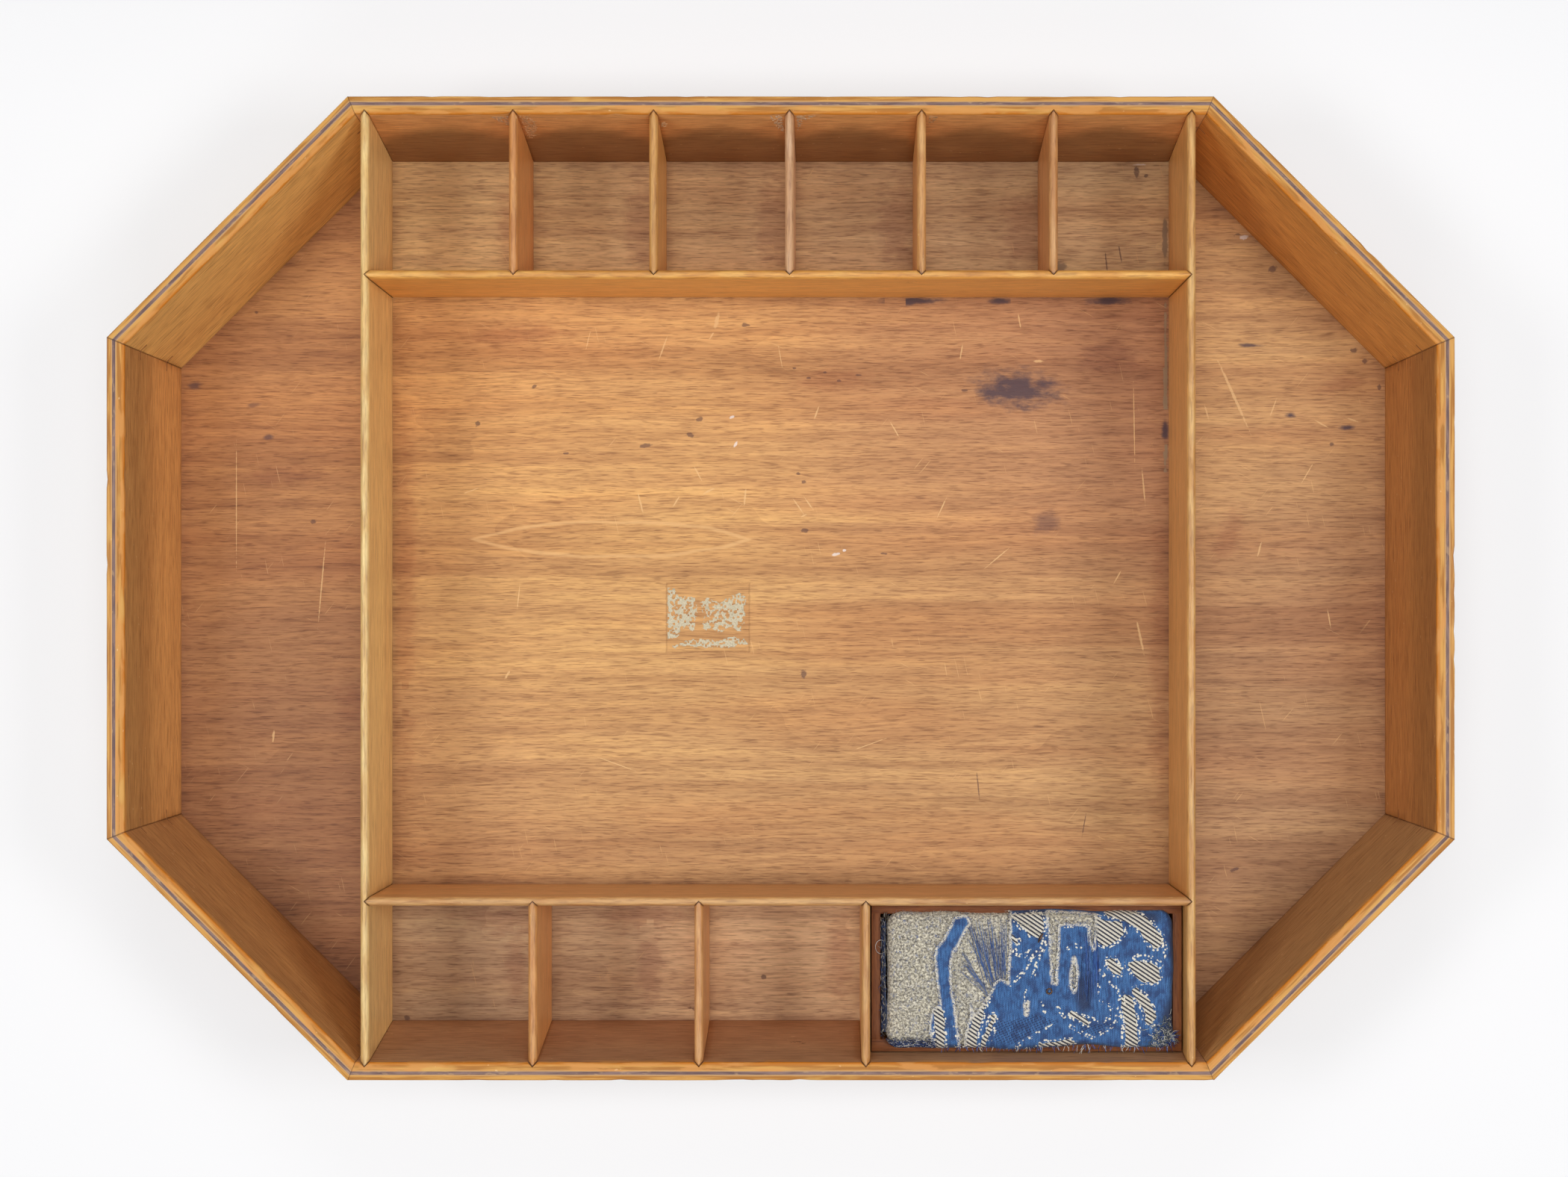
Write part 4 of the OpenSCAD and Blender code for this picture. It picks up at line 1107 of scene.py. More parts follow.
def brocade_material():
    """Blue twill with hatched white leaves, lines of beads, a small pattern and frayed pale edges."""
    s = Surface("blue_and_white_brocade", Roughness=0.72, Sheen_Weight=0.1)
    u, v, flat, torn = cloth_coordinates(s)
    leaf, dotted, seeds = s.split(s.attribute("figure"))
    streak = s.speckle(flat, (3.2, 0.22, 1), detail=3.0, roughness=0.6)
    mottle = s.speckle(flat, (0.35, 0.28, 1), detail=3.0)
    speck = s.speckle(flat, (3.0, 3.0, 1))
    twill = waves(s, u, v, 0.57, 0.82, 0.55)
    blue = s.mix(s.ramp(streak, 0.35, 0.68), srgb(30, 68, 118), srgb(66, 115, 172))
    blue = s.mix(s.ramp(mottle, 0.46, 0.66, 0, 0.75), blue, srgb(28, 52, 100))
    blue = s.times(s.ramp(mottle, 0.44, 0.30, 0, 0.6), blue, (1.35, 1.25, 1.15))
    blue = s.times(s.ramp(twill, 0.1, 0.9, 0, 0.32), blue, (0.62, 0.64, 0.68))
    blue = s.mix(s.ramp(speck, 0.64, 0.74, 0, 0.35), blue, srgb(150, 166, 190))
    # dark blue patches, partly painted shade where the cloth turns down at the cushion's edges
    blue = s.mix(s.ramp(s.attribute("navy_and_shade", "Fac"), 0.2, 0.9, 0, 0.85), blue, srgb(30, 42, 74))
    dots = s.both(waves(s, u, v, 1.0, 0.5, 1.5), waves(s, u, v, -0.2, 1.0, 1.25))
    dots = s.ramp(dots, 0.10, 0.40, 0, 0.9)
    blue = s.times(s.both(dots, s.ramp(seeds, -0.3, 0.5)), blue, (0.22, 0.24, 0.34))
    hatch = waves(s, u, v, -0.56, 0.83, 1.22)
    thread = s.speckle(flat, (4.0, 4.0, 1), detail=1.0)
    white = s.mix(s.ramp(thread, 0.3, 0.7), srgb(196, 190, 174), srgb(232, 226, 212))
    hatched = s.mix(s.ramp(hatch, 0.0, -0.4), white, srgb(40, 42, 58))
    inside = s.ramp(s.jitter(leaf, speck, 0.25), -0.06, 0.06)
    colour = s.mix(inside, blue, hatched)
    beads = s.node("ShaderNodeTexVoronoi", {"Vector": flat, "Scale": 1.0}).node
    bead = s.ramp(beads.outputs["Distance"], 0.46, 0.34)
    near_leaf = s.ramp(s.gap(leaf, -0.45), 0.60, 0.40)
    near_line = s.ramp(dotted, 0.80, 0.55)
    colour = s.mix(s.both(s.math("MAXIMUM", near_leaf, near_line), bead), colour, srgb(226, 220, 204))
    worn = s.speckle(flat, (1.6, 1.6, 1), detail=3.0)
    frayed = s.both(s.ramp(torn, 1.2, 0.3), s.ramp(worn, 0.34, 0.50))
    colour = s.mix(frayed, colour, srgb(212, 206, 192))
    height = s.math("ADD", s.math("MULTIPLY", twill, 0.35), s.math("ADD", streak, s.both(inside, hatch)))
    return s.finish(colour, height, depth=0.00016, strength=0.9)


def tinted_material(name):
    """Threads and other small things whose colour is their own tint, a little uneven."""
    s = Surface(name, Roughness=0.9)
    colour = s.attribute("tint", "Color")
    uneven = s.speckle(s.own_place(), (900, 900, 900))
    colour = s.times(s.ramp(uneven, 0.4, 0.7, 0, 0.5), colour, (0.72, 0.72, 0.74))
    return s.finish(colour)


def rusty_material(name, bright, dark):
    """Old steel, blotched with rust and duller where it is rustiest."""
    s = Surface(name, Metallic=0.35)
    blotch = s.speckle(s.own_place(), (1400, 1400, 1400), detail=4.0, roughness=0.7)
    colour = s.mix(s.ramp(blotch, 0.4, 0.62), srgb(*bright), srgb(*dark))
    return s.finish(colour, blotch, depth=0.0002, roughness=s.ramp(blotch, 0.35, 0.65, 0.55, 0.9))


def apply_modifier(piece, name, kind, **settings):
    """Adds a modifier and makes it part of the mesh."""
    made = piece.modifiers.new(name, kind)
    for key, value in settings.items():
        setattr(made, key, value)
    bpy.ops.object.modifier_apply(modifier=name)


def stuffing_pad():
    """The stuffing, swollen from its CAD block by a cloth simulation under pressure."""
    scale = 10.0                          # the simulation is steadier on a larger object
    steps = 20
    low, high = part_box("cushion_stuffing")
    middle = (low + high) / 2
    bm = bmesh.new()
    bm.from_mesh(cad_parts["cushion_stuffing"].data)
    for vertex in bm.verts:
        vertex.co = (vertex.co - middle) * 0.97 * scale
    mesh = bpy.data.meshes.new("cushion_stuffing")
    bm.to_mesh(mesh)
    bm.free()
    pad = bpy.data.objects.new("stuffing_pad", mesh)
    bpy.context.scene.collection.objects.link(pad)
    bpy.context.view_layer.objects.active = pad
    bpy.ops.object.select_all(action="DESELECT")
    pad.select_set(True)
    apply_modifier(pad, "remesh", "REMESH", mode="VOXEL", voxel_size=2.4 * MM * scale)
    before = points_of(pad.data)
    cloth = pad.modifiers.new("cloth", "CLOTH")
    cloth.settings.use_pressure = True
    cloth.settings.uniform_pressure_force = 4.0
    cloth.settings.effector_weights.gravity = 0.0
    cloth.settings.quality = 4
    for step in range(1, steps + 1):
        bpy.context.scene.frame_set(step)
    bpy.ops.object.modifier_apply(modifier="cloth")
    bpy.context.scene.frame_set(1)
    moved = points_of(pad.data) - before
    far = np.linalg.norm(moved, axis=1, keepdims=True)
    most = 1.0 * MM * scale
    moved = moved * np.minimum(1, most / np.maximum(far, 1e-9))
    after = (before + moved) / scale + np.array(middle)
    pad.data.vertices.foreach_set("co", after.astype(np.float32).ravel())
    apply_modifier(pad, "smooth", "SUBSURF", levels=1)
    pad.data.polygons.foreach_set("use_smooth", [True] * len(pad.data.polygons))
    s = Surface("hair_stuffing", Roughness=0.9)
    tow = s.speckle(s.own_place(), (500, 500, 900), detail=3.0)
    colour = s.mix(tow, srgb(150, 128, 98), srgb(206, 186, 150))
    pad.data.materials.clear()
    pad.data.materials.append(s.finish(colour, tow, depth=0.0003))
    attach(pad, "pincushion_box")
    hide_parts("cushion_stuffing")
    return pad


def fray_threads(rng, sheet_flat, distance):
    """Short threads along the torn edges, pulled threads over the bare wool, and loose ends."""
    paths, radii, colours = [], [], []

    def add(path, radius, colour):
        paths.append(path)
        radii.append(radius * MM)
        colours.append(srgb(*colour))

    def wander(start, end, count, bend, lift, lift_mid=0.0):
        share = np.linspace(0, 1, count)
        line = np.array(start) + share[:, None] * (np.array(end) - np.array(start))
        line += rng.normal(0, bend, (count, 2)) * np.sin(share * math.pi)[:, None]
        return surface_path(line, lift + lift_mid * np.sin(share * math.pi) + rng.normal(0, 0.03, count))

    def pick(*choices):
        return choices[rng.integers(len(choices))]

    def beyond(here, reach, turn, squash=1.0):
        return here + reach * np.array([math.cos(turn), squash * math.sin(turn)])

    def placed(x, y, z):
        return np.column_stack([x, y, z]) * MM

    # along every torn edge
    edge = sheet_flat[(distance < 0.12) & (skirt_distance(sheet_flat) > 6)]
    for here in edge[rng.permutation(len(edge))[:900]]:
        turn = rng.uniform(0, 2 * math.pi)
        there = beyond(here, rng.uniform(0.5, 1.7), turn)
        colour = pick((214, 208, 194), (70, 108, 176), (40, 62, 116), (196, 190, 176))
        add(wander(here, there, 4, 0.12, 0.12, 0.25), rng.uniform(0.05, 0.09), colour)
    # a fan of blue threads over the bare wool, and a few that cross it lower down
    for i in range(34):
        top = np.array([32.6 + 0.41 * i + rng.normal(0, 0.25), rng.uniform(4.0, 13.0)])
        foot = np.array([39.2 + 0.20 * i + rng.normal(0, 0.3), rng.uniform(23.0, 31.0)])
        colour = pick((62, 92, 150), (84, 110, 158), (48, 72, 124))
        add(wander(top, foot, 9, 0.14, -0.10, 0.12), rng.uniform(0.09, 0.14), colour)
    for _ in range(12):
        top = np.array([rng.uniform(29.4, 33.0), rng.uniform(14.0, 24.0)])
        foot = np.array([rng.uniform(38.0, 41.0), rng.uniform(27.0, 32.0)])
        add(wander(top, foot, 8, 0.25, -0.10, 0.12), rng.uniform(0.08, 0.12), (92, 112, 154))
    # worn lengthwise threads to the right of the middle
    for _ in range(46):
        top = np.array([rng.uniform(70.8, 78.0), rng.uniform(8.0, 24.0)])
        foot = top + (rng.normal(0, 0.4), rng.uniform(6, 16))
        colour = pick((40, 66, 128), (60, 98, 170), (36, 50, 92), (92, 120, 176))
        add(wander(top, foot, 7, 0.12, 0.12, 0.1), rng.uniform(0.06, 0.12), colour)
    # long pale threads along the back, and a loop at the left
    for start, end in (
        ((47, 2.6), (74, 4.0)), ((56, 2.0), (70, 6.2)), ((58, 3.2), (69, 3.4)), ((30, 3.2), (47, 3.4)),
        ((86, 1.6), (93, 2.4)), ((62, 9.0), (61, 3.0)), ((47, 3.6), (58, 9.6)), ((15, 3.4), (30, 2.4)),
    ):
        add(wander(start, end, 12, 0.5, 0.35, 0.5), 0.11, (216, 208, 188))
    loop = [(5.4 + 1.9 * math.cos(t), 14.4 + 2.4 * math.sin(t)) for t in np.linspace(0.6, 5.6, 12)]
    loop = np.array(loop) - (2.2, 0)
    add(placed(loop[:, 0] + BOX_LEFT, BOX_BACK - loop[:, 1], np.full(12, 44.5)), 0.12, (206, 204, 200))
    # a tuft near the front right corner
    for _ in range(240):
        here = np.array([rng.normal(100.6, 2.6), rng.normal(46.2, 3.6)])
        turn = rng.uniform(0, 2 * math.pi)
        there = beyond(here, rng.uniform(0.8, 3.2), turn)
        if min(skirt_distance(np.array([here]))[0], skirt_distance(np.array([there]))[0]) < 7.5:
            continue
        colour = pick((120, 124, 116), (180, 182, 172), (44, 72, 136), (90, 98, 104), (228, 224, 212))
        add(wander(here, there, 6, 0.4, 0.15, 0.8), rng.uniform(0.06, 0.12), colour)
    # beside the left strip of the box
    for _ in range(260):
        v = rng.uniform(4.0, 45.0)
        share = np.linspace(0, 1, 5)
        path = placed(BOX_LEFT + rng.uniform(3.2, 4.8) + rng.normal(0, 0.5) * share,
                      BOX_BACK - v + rng.normal(0, 1.4) * share,
                      44.1 + 0.5 * np.sin(share * 3.0) + rng.uniform(0, 0.5, 5))
        colour = pick((52, 62, 92), (38, 48, 78), (120, 116, 108), (178, 170, 156), (66, 84, 128))
        add(path, rng.uniform(0.07, 0.14), colour)
    # over the front edge of the cushion
    for _ in range(150):
        here = np.array([rng.uniform(24.0, 104.0), rng.uniform(48.2, 49.6)])
        reach = rng.uniform(0.5, 2.0)
        path = placed(np.linspace(here[0], here[0] + rng.normal(0, 0.9), 5) + BOX_LEFT,
                      BOX_BACK - np.linspace(here[1] - 1.0, here[1] + reach, 5),
                      44.9 + 0.5 * np.sin(np.linspace(0.6, 3.1, 5)) + rng.normal(0, 0.05, 5))
        colour = pick((52, 84, 150), (214, 208, 196), (34, 48, 88), (90, 116, 170))
        add(path, rng.uniform(0.06, 0.12), colour)
    # loose ends at the front right corner
    for _ in range(70):
        turn = rng.uniform(-1.9, 0.7)
        reach = rng.uniform(1.5, 4.5)
        share = np.linspace(0, 1, 6)
        path = placed(133.2 + reach * share * math.cos(turn) + rng.normal(0, 0.25, 6),
                      -153.6 + reach * share * math.sin(turn) + rng.normal(0, 0.25, 6),
                      45.2 + 0.8 * np.sin(share * 3.0) + rng.normal(0, 0.1, 6))
        colour = pick((36, 60, 120), (60, 92, 156), (196, 196, 186), (120, 126, 120))
        add(path, rng.uniform(0.07, 0.14), colour)
    # a dark fringe at the front left corner
    for _ in range(720):
        here = np.array([rng.uniform(5.0, 21.5), rng.normal(47.7, 0.95)])
        turn = rng.uniform(-0.6, 3.7)
        there = beyond(here, rng.uniform(0.6, 2.2), turn, 0.6)
        colour = pick((34, 46, 82), (26, 34, 60), (60, 78, 120), (206, 202, 194), (38, 58, 108))
        add(wander(here, there, 4, 0.2, 0.30, 0.5), rng.uniform(0.07, 0.14), colour)
    # the nap of the bare wool
    for _ in range(2600):
        here = np.array([rng.uniform(4.6, 34.0), rng.uniform(1.8, 48.4)])
        if brocade_distance(np.array([here]))[0] > -0.3:
            continue
        turn = rng.uniform(0, 2 * math.pi)
        there = beyond(here, rng.uniform(0.5, 1.5), turn)
        colour = pick((196, 188, 170), (214, 208, 190), (128, 122, 112), (108, 118, 146), (174, 168, 152))
        add(wander(here, there, 4, 0.15, -0.42, 0.22), rng.uniform(0.03, 0.055), colour)
    return thread_mesh("brocade_frays", paths, radii, colours)


def figure_attributes(mesh, flat):
    """The brocade's figure at each point: leaves, lines and small pattern as distances, and dark patches
    that are partly painted shade.
    """
    both = np.tile(flat, (2, 1))
    dotted = np.full(len(both), 99.0)
    for line in DOTTED_LINES:
        dotted = np.minimum(dotted, outline_distance(both, line, closed=False))
    seeds = np.maximum(*[outline_distance(both, zone) for zone in SEED_ZONES])
    set_attribute(mesh, "figure", np.column_stack([leaf_distance(both), dotted, seeds]))
    navy_and_shade = np.zeros(len(both))
    for x, y, half_l, half_w in NAVY_AND_SHADE_PATCHES:
        far = ((both[:, 0] - x) / half_l) ** 2 + ((both[:, 1] - y) / half_w) ** 2
        navy_and_shade = np.maximum(navy_and_shade, np.exp(-far))
    set_attribute(mesh, "navy_and_shade", navy_and_shade, "FLOAT")


def pincushion():
    """All that the pincushion box holds: stuffing, wool, brocade and frays, the remnant and the pin."""
    pad = stuffing_pad()

    def felt(flat):
        return field(flat, 1.1, 2.7, 2) * 0.16

    def pulled(flat):
        lift = 0.35 * np.exp(-np.maximum(brocade_distance(flat), 0) / 0.8) * (0.6 + field(flat, 2.5, 9.1))
        return lift + field(flat, 5.0, 7.7) * 0.10 + np.sin(flat[:, 0] * 5.2 + field(flat, 6, 1.9)) * 0.05

    wool, _, area = cloth_sheet("wool_cover_cloth", 0.55, 0.55, skirt_distance, 0.8, felt, wool_material(),
                                "wool_cover")
    brocade, flat, area = cloth_sheet("brocade_cover_cloth", 0.45, 0.0, brocade_distance, 0.35, pulled,
                                      brocade_material(), "brocade_cover")
    figure_attributes(brocade.data, flat)
    frays = fray_threads(np.random.default_rng(7), flat, brocade_distance(flat))
    frays = add_piece("brocade_frays", frays, "pincushion_box", tinted_material("loose_thread"),
                      smooth_angle=180)
    remnant()
    pin()


def remnant():
    """The torn strip that stands between the cushion and the left side of the box."""
    low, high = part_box("brocade_remnant")
    rows, columns = 24, 120
    points = []
    for j in range(rows + 1):
        for i in range(columns + 1):
            y = low.y + (high.y - low.y) * i / columns
            torn = 0.6 * MM * rough((0, y, 0), 300, 2.0) + 0.5 * MM * rough((0, y, 0), 1100, 5.0)
            z = low.z + (high.z + 0.9 * MM + torn - low.z) * j / rows
            x = low.x + 0.1 * MM + 0.3 * MM * rough((0, y, z), 160, 1.0)
            x += (1.5 + 0.9 * rough((0, y, 0), 120, 4.0)) * MM * (j / rows) ** 9
            points.append((x, y, z))
    wide = columns + 1
    bm = bmesh.new()
    made = [bm.verts.new(p) for p in points]
    for j in range(rows):
        for i in range(columns):
            a, b = j * wide + i, (j + 1) * wide + i
            bm.faces.new((made[a], made[a + 1], made[b + 1], made[b]))
    bmesh.ops.recalc_face_normals(bm, faces=bm.faces)
    bmesh.ops.solidify(bm, geom=bm.faces[:], thickness=0.4 * MM)
    mesh = to_mesh(bm, "brocade_remnant")
    tinted(mesh, (62, 74, 100))
    piece = add_piece("brocade_remnant_cloth", mesh, "pincushion_box", tinted_material("navy_and_shade_remnant"),
                      ["brocade_remnant"])


def pin():
    """A rusty pin with a hollow head, pushed in up to its head, and the broken needle beside it."""
    low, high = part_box("stuck_pin")
    x, y = (low.x + high.x) / 2, (low.y + high.y) / 2
    top = high.z + 0.25 * MM
    bm = bmesh.new()
    profile = (                           # radius and height, from the hollow of the head down to the point
        (0.02, -1.15), (0.42, -1.10), (0.60, -0.40), (0.78, -0.02), (1.02, -0.04), (1.15, -0.35),
        (1.05, -0.80), (0.36, -1.3), (0.33, -2.0), (0.33, -18.0), (0.16, -24.0), (0.02, -26.4),
    )
    sides = 16
    turns = np.linspace(0, 2 * math.pi, sides, endpoint=False)
    rings = []
    for radius, drop in profile:
        reach = radius * MM
        ring = [(x + reach * math.cos(t), y + reach * math.sin(t), top + drop * MM) for t in turns]
        rings.append([bm.verts.new(place) for place in ring])
    for a, b in zip(rings, rings[1:]):
        for i in range(sides):
            bm.faces.new((a[i], a[(i + 1) % sides], b[(i + 1) % sides], b[i]))
    bm.faces.new(rings[0])
    bm.faces.new(rings[-1])
    mesh = to_mesh(bm, "stuck_pin")
    steel = rusty_material("pin_rust", (120, 92, 74), (52, 34, 26))
    add_piece("stuck_pin_steel", mesh, "pincushion_box", steel, ["stuck_pin"])
    path = surface_path([(58.9, 9.4), (58.3, 10.4), (57.7, 11.5), (57.1, 12.6)], [0.5, 0.55, 0.5, 0.35])
    needle = thread_mesh("broken_needle", [path], [0.55 * MM], [srgb(92, 58, 48)])
    add_piece("broken_needle", needle, "pincushion_box", steel, smooth_angle=180)


# ---------------------------------------------------------------- paper, glue and metal


def patch_piece(name, origin, across, down, outlines, thickness, seed, material, nodes=(), holes=0.0,
                tint=(200, 200, 200)):
    """Thin torn scraps lying on a flat face: outlines in millimetres along two directions from an origin."""
    step = 0.3
    origin, across, down = (np.array(v, float) for v in (origin, across, down))
    every = np.concatenate([np.array(o, float) for o in outlines])
    low, high = every.min(axis=0) - 1, every.max(axis=0) + 1
    a, b = np.meshgrid(np.arange(low[0], high[0], step), np.arange(low[1], high[1], step))
    flat = np.stack([a.ravel(), b.ravel()], axis=1)
    ragged = flat + np.stack([field(flat, 1.6, seed, 2), field(flat, 1.6, seed + 3, 2)], axis=1) * 0.5
    inside = np.max([outline_distance(ragged, o) for o in outlines], axis=0)
    inside = np.minimum(inside, (0.62 - holes) - field(flat, 0.9, seed + 6, 2))
    quads = grid_quads(a.shape)
    quads = quads[inside[quads].min(axis=1) > 0]
    used, quads = np.unique(quads, return_inverse=True)
    quads = quads.reshape(-1, 4)
    flat, inside = flat[used], inside[used]
    normal = np.cross(down, across)
    normal = normal / np.linalg.norm(normal)
    rise = thickness * (0.5 + 0.5 * np.clip(inside / 0.5, 0, 1)) * (1 + 0.5 * field(flat, 1.2, seed + 1))
    base = origin + (flat[:, :1] * across + flat[:, 1:] * down) * MM
    points = np.concatenate([base + normal * rise[:, None] * MM, base - normal * 0.02 * MM])
    faces, under, rim = both_sides(quads, len(flat))
    mesh = bpy.data.meshes.new(name)
    mesh.from_pydata(points.tolist(), [], faces + under + rim)
    bm = bmesh.new()
    bm.from_mesh(mesh)
    bpy.data.meshes.remove(mesh)
    mesh = to_mesh(bm, name)
    set_attribute(mesh, "cloth", np.column_stack([np.tile(flat, (2, 1)), np.tile(inside, 2)]))
    tinted(mesh, tint)
    return add_piece(name, mesh, "tray", material, nodes, smooth_angle=60)


# The scraps that are left of the label, from the label's back left corner
LABEL_SCRAPS = (
    ((0.3, 1.6), (3.6, 2.0), (5.2, 4.6), (10.6, 5.0), (11.4, 11), (10.2, 17.6), (8.4, 17.2), (7.4, 15.4),
     (5.6, 18.0), (3.8, 20.0), (0.4, 20.2)),
    ((12.0, 7.0), (15.0, 5.0), (19.0, 6.8), (22.6, 5.2), (26.0, 3.4), (28.8, 4.6), (28.2, 9.4),
     (28.8, 13.0), (26.4, 17.8), (22.8, 15.8), (19.4, 18.2), (15.4, 16.4), (12.6, 17.6), (13.4, 12.0)),
    ((2.2, 22.6), (5.0, 21.4), (8.4, 20.4), (14.0, 20.2), (19.0, 20.6), (23.0, 19.2), (27.8, 20.0),
     (29.6, 22.0), (26.0, 23.0), (20.0, 23.6), (12.0, 23.3), (6.0, 22.6), (2.6, 23.8)),
)
# Old glue on the back wall beside the partitions: x and how far down the wall from the rim, and a colour
GLUE = (
    (((-100.0, 2.6), (-93.0, 1.4), (-92.8, 14.0), (-95.4, 9.0)), (196, 156, 118)),
    (((-89.2, 1.4), (-86.0, 2.4), (-83.6, 8.0), (-84.6, 16.0), (-86.0, 24.0), (-88.8, 26.0)),
     (204, 158, 112)),
    (((-41.2, 7.5), (-38.6, 8.0), (-39.6, 13.0), (-41.4, 13.6)), (214, 176, 132)),
    (((-4.4, 1.4), (0.9, 1.2), (1.0, 19.0), (-1.2, 15.0), (-2.4, 8.0)), (206, 176, 142)),
    (((5.0, 1.2), (12.4, 1.4), (8.0, 7.0), (6.6, 13.0), (5.4, 17.0)), (200, 168, 132)),
    (((50.4, 1.6), (54.0, 2.4), (52.2, 9.0), (50.4, 14.0)), (186, 144, 100)),
)


def label_paper():
    """Old paper, speckled and dirty at its torn edges."""
    s = Surface("old_label_paper", Roughness=0.9)
    _, _, flat, edge = cloth_coordinates(s)
    speck = s.speckle(flat, (2.2, 2.2, 1), detail=3.0, roughness=0.7)
    blotch = s.speckle(flat, (0.35, 0.35, 1))
    colour = s.mix(s.ramp(speck, 0.35, 0.65), srgb(184, 174, 148), srgb(214, 203, 176))
    colour = s.mix(s.ramp(blotch, 0.5, 0.7, 0, 0.5), colour, srgb(186, 178, 150))
    colour = s.mix(s.ramp(speck, 0.66, 0.74, 0, 0.7), colour, srgb(120, 96, 72))
    colour = s.mix(s.ramp(edge, 0.35, 0.05, 0, 0.45), colour, srgb(132, 124, 104))
    return s.finish(colour, speck, depth=0.0002)


def old_glue():
    """Dried glue with dark specks, in its own tint."""
    s = Surface("old_glue", Roughness=0.4, Coat_Weight=0.2)
    _, _, flat, _ = cloth_coordinates(s)
    speck = s.speckle(flat, (1.1, 0.7, 1), detail=4.0, roughness=0.7)
    colour = s.times(s.ramp(speck, 0.45, 0.68, 0, 0.8), s.attribute("tint", "Color"), (0.55, 0.44, 0.36))
    return s.finish(colour, speck, depth=0.0003)


def label_and_glue():
    """The torn label on the floor, and the old glue on the inside of the back wall."""
    low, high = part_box("paper_label_scrap")
    patch_piece("paper_label_scrap_paper", (low.x, high.y, low.z), (1, 0, 0), (0, -1, 0), LABEL_SCRAPS, 0.12,
                4.4, label_paper(), ["paper_label_scrap"], holes=0.26)
    glue = old_glue()
    wall = Wall("back_wall")
    origin = (0, wall.rim_distance - wall.thickness, RIM_Z)
    down = (0, -math.sin(WALL_LEAN), -math.cos(WALL_LEAN))
    for i, (outline, tint) in enumerate(GLUE):
        patch_piece(f"glue_{i + 1}", origin, (1, 0, 0), down, [outline], 0.14, 1.7 + i, glue,
                    holes=0.42, tint=tint)


def metal_piece(node, body, material):
    """Brads and nails: their own solids with the edges of their heads rounded, slightly rough."""
    bm = clean_solid(node)
    round_edges(bm, lambda edge: True, 0.12 * MM, segments=2)
    for vertex in bm.verts:
        vertex.co += Vector((rough(vertex.co, 900, 1.0), rough(vertex.co, 900, 2.0), 0)) * 0.03 * MM
    mesh = to_mesh(bm, node)
    return add_piece(f"{node}_steel", mesh, body, material, [node])


# ---------------------------------------------------------------- scene


LIGHTS = (                                # name, place, size in metres, power in watts
    ("soft_light_above", (0.0, 0.0, 1.7), 0.9, 7.0),
    ("soft_light_left", (-0.85, -0.05, 1.10), 0.45, 6.2),
    ("soft_light_right", (0.85, -0.05, 1.10), 0.45, 6.8),
    ("soft_light_front", (0.0, -0.95, 1.15), 0.5, 3.4),
    ("soft_light_back", (0.0, 0.95, 1.15), 0.5, 3.2),
)


def light(name, place, size, power):
    """A large square soft light that faces the middle of the tray."""
    lamp = bpy.data.lights.new(name, "AREA")
    lamp.shape = "SQUARE"
    lamp.size = size
    lamp.energy = power
    holder = bpy.data.objects.new(name, lamp)
    bpy.context.scene.collection.objects.link(holder)
    holder.location = place
    towards = Vector((0, 0, RIM_Z / 2)) - Vector(place)
    holder.rotation_mode = "QUATERNION"
    holder.rotation_quaternion = towards.to_track_quat("-Z", "Y")


def studio():
    """A wide soft light overhead, four smaller ones around it, and a pale table that glows a little.

    The table's glow is slightly weaker behind the tray, as in the photo.
    """
    world = bpy.data.worlds.new("studio")
    bpy.context.scene.world = world
    world.use_nodes = True
    background = world.node_tree.nodes["Background"]
    background.inputs["Color"].default_value = (1, 1, 1, 1)
    background.inputs["Strength"].default_value = 0.17
    for settings in LIGHTS:
        light(*settings)
    bpy.ops.mesh.primitive_plane_add(size=6)
    table = bpy.context.object
    table.name = "table"
    table.location.z = -0.2 * MM
    s = Surface("table_white", Roughness=0.9, Base_Color=(0.40, 0.40, 0.405, 1), Emission_Strength=0.52,
                Specular_IOR_Level=0.0)
    away = s.split(s.own_place())[1]
    glow = s.mix(s.ramp(away, 0.16, 0.32), [1, 1, 1.01, 1], [0.86, 0.86, 0.88, 1])
    s.tree.links.new(glow, s.shader.inputs["Emission Color"])
    table.data.materials.append(s.material)


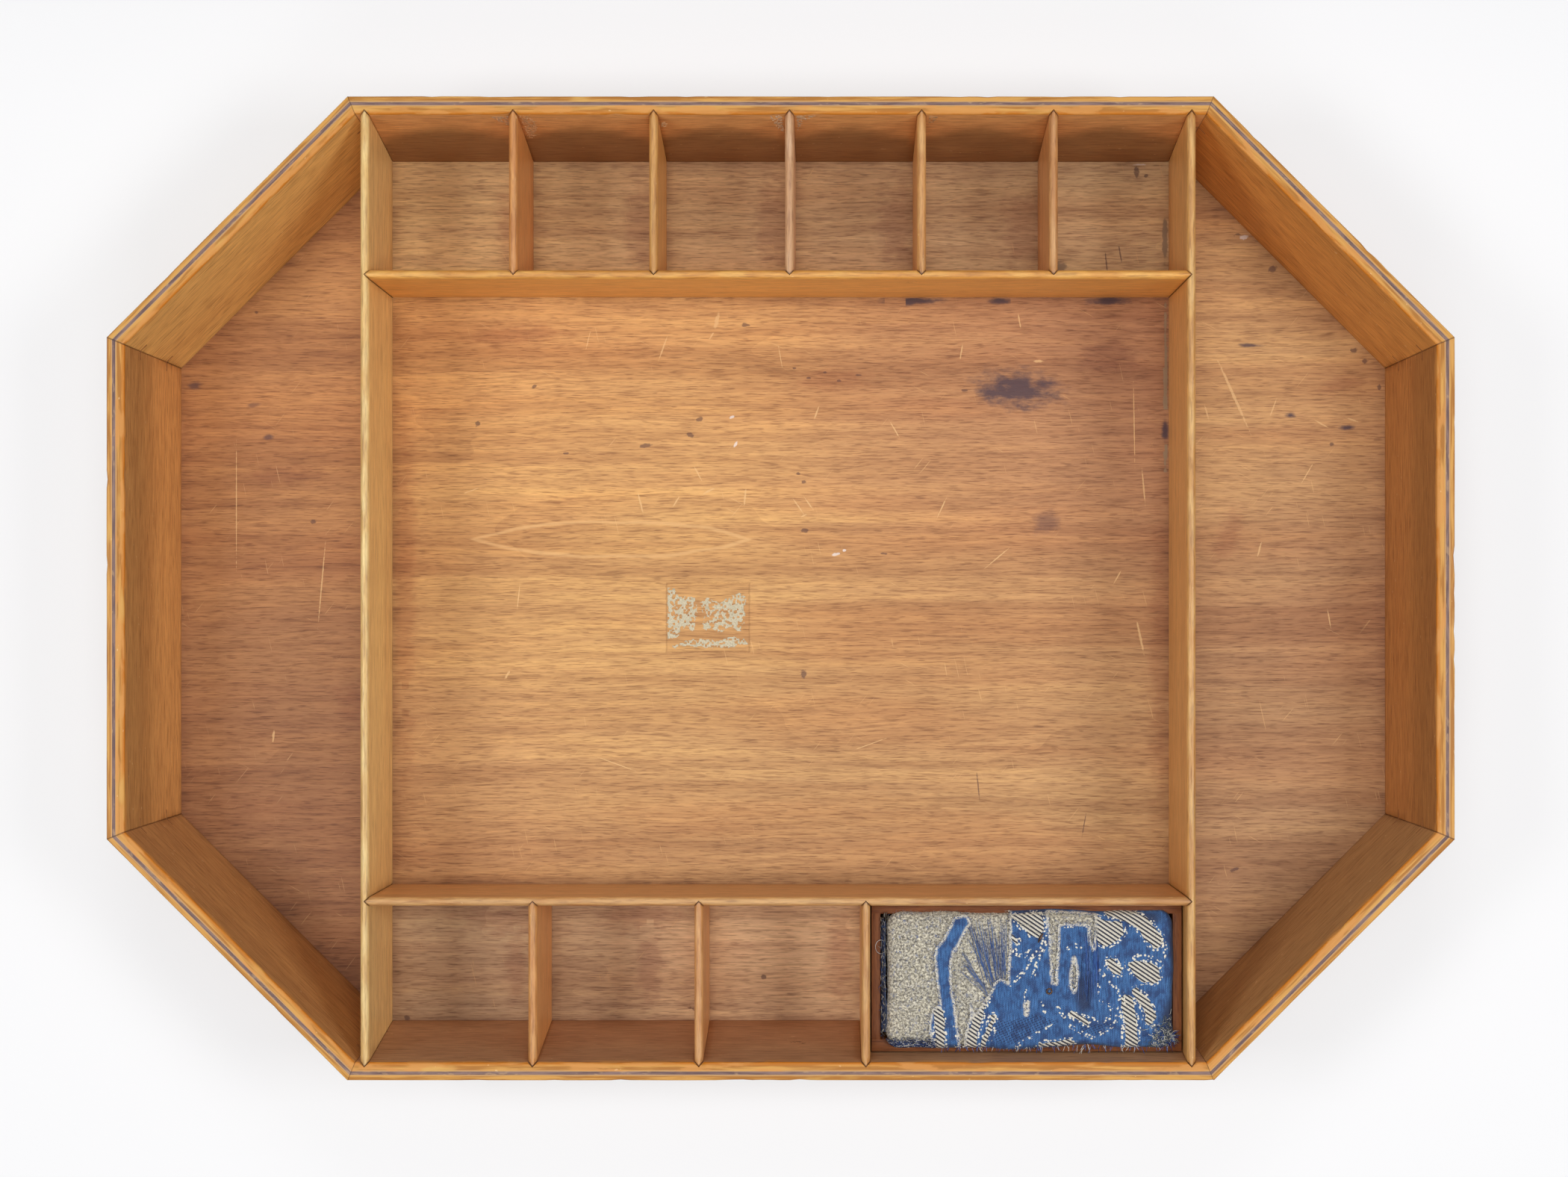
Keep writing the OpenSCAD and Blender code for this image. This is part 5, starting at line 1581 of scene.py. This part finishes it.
def camera():
    """Straight above, a little off the middle, as the tray is framed."""
    lens = bpy.data.cameras.new("camera")
    lens.sensor_width = 36
    lens.lens = 62.1
    lens.shift_x = -0.0286
    lens.shift_y = 0.0329
    lens.clip_start, lens.clip_end = 0.05, 20
    holder = bpy.data.objects.new("camera", lens)
    bpy.context.scene.collection.objects.link(holder)
    holder.location = (16.4 * MM, -17.6 * MM, RIM_Z + 0.920)
    bpy.context.scene.camera = holder
    bpy.context.scene.view_settings.view_transform = "Standard"
    bpy.context.scene.view_settings.look = "None"


camera()
studio()
wall_materials = {
    "outer_ply": rim_wood("outer_ply_wood", 2.1 * MM),
    "core_ply": core_wood(),
    "inner_ply": rim_wood("inner_ply_wood", 3.2 * MM),
}
for i, name in enumerate(WALLS):
    for j, ply in enumerate(PLIES):
        wall_ply(Wall(name), ply, wall_materials[ply], seed=0.61 * i + 2.3 * j)

floor_panel(floor_wood())
base_wood = plain_wood("base_wood", 0.8, 0.05, 0.6)
simple_wood("base_middle_ply", (0, 1, 0), base_wood, (196, 154, 110), 1.1, radius=0, step=0)
simple_wood("base_bottom_ply", (1, 0, 0), base_wood, (178, 132, 88), 2.2, radius=0, step=0)

partition_wood = panel_wood()
for i, (name, tint) in enumerate(LONG_PARTITIONS.items()):
    divider(name, "cross" in name, partition_wood, tint, seed=0.77 * i + 5)
cells = sorted(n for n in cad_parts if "_cell_divider_" in n)
for i, (name, tint) in enumerate(zip(cells, CELL_TINTS)):
    divider(name, True, partition_wood, tint, seed=0.53 * i + 9)

key_wood = plain_wood("key_wood", 0.4, 0.1, 0.5)
simple_wood("corner_keys", (1, 0, 0), key_wood, (150, 98, 56), 3.3, radius=0, step=0)
box_wood = plain_wood("box_wood", 0.9, 0.02, 0.55)
for i, name in enumerate(("box_back_strip", "box_front_strip", "box_left_strip", "box_right_strip")):
    along = (1, 0, 0) if i < 2 else (0, 1, 0)
    simple_wood(name, along, box_wood, BOX_TINT, 4 + 0.7 * i, "pincushion_box", 0.35 * MM)
simple_wood("box_bottom_board", (1, 0, 0), box_wood, BOX_TINT, 7.7, "pincushion_box")
pincushion()
label_and_glue()
rust = rusty_material("rusty_steel", (128, 104, 88), (74, 50, 36))
metal_piece("base_brads", "tray", rust)
metal_piece("box_nails", "pincushion_box", rust)
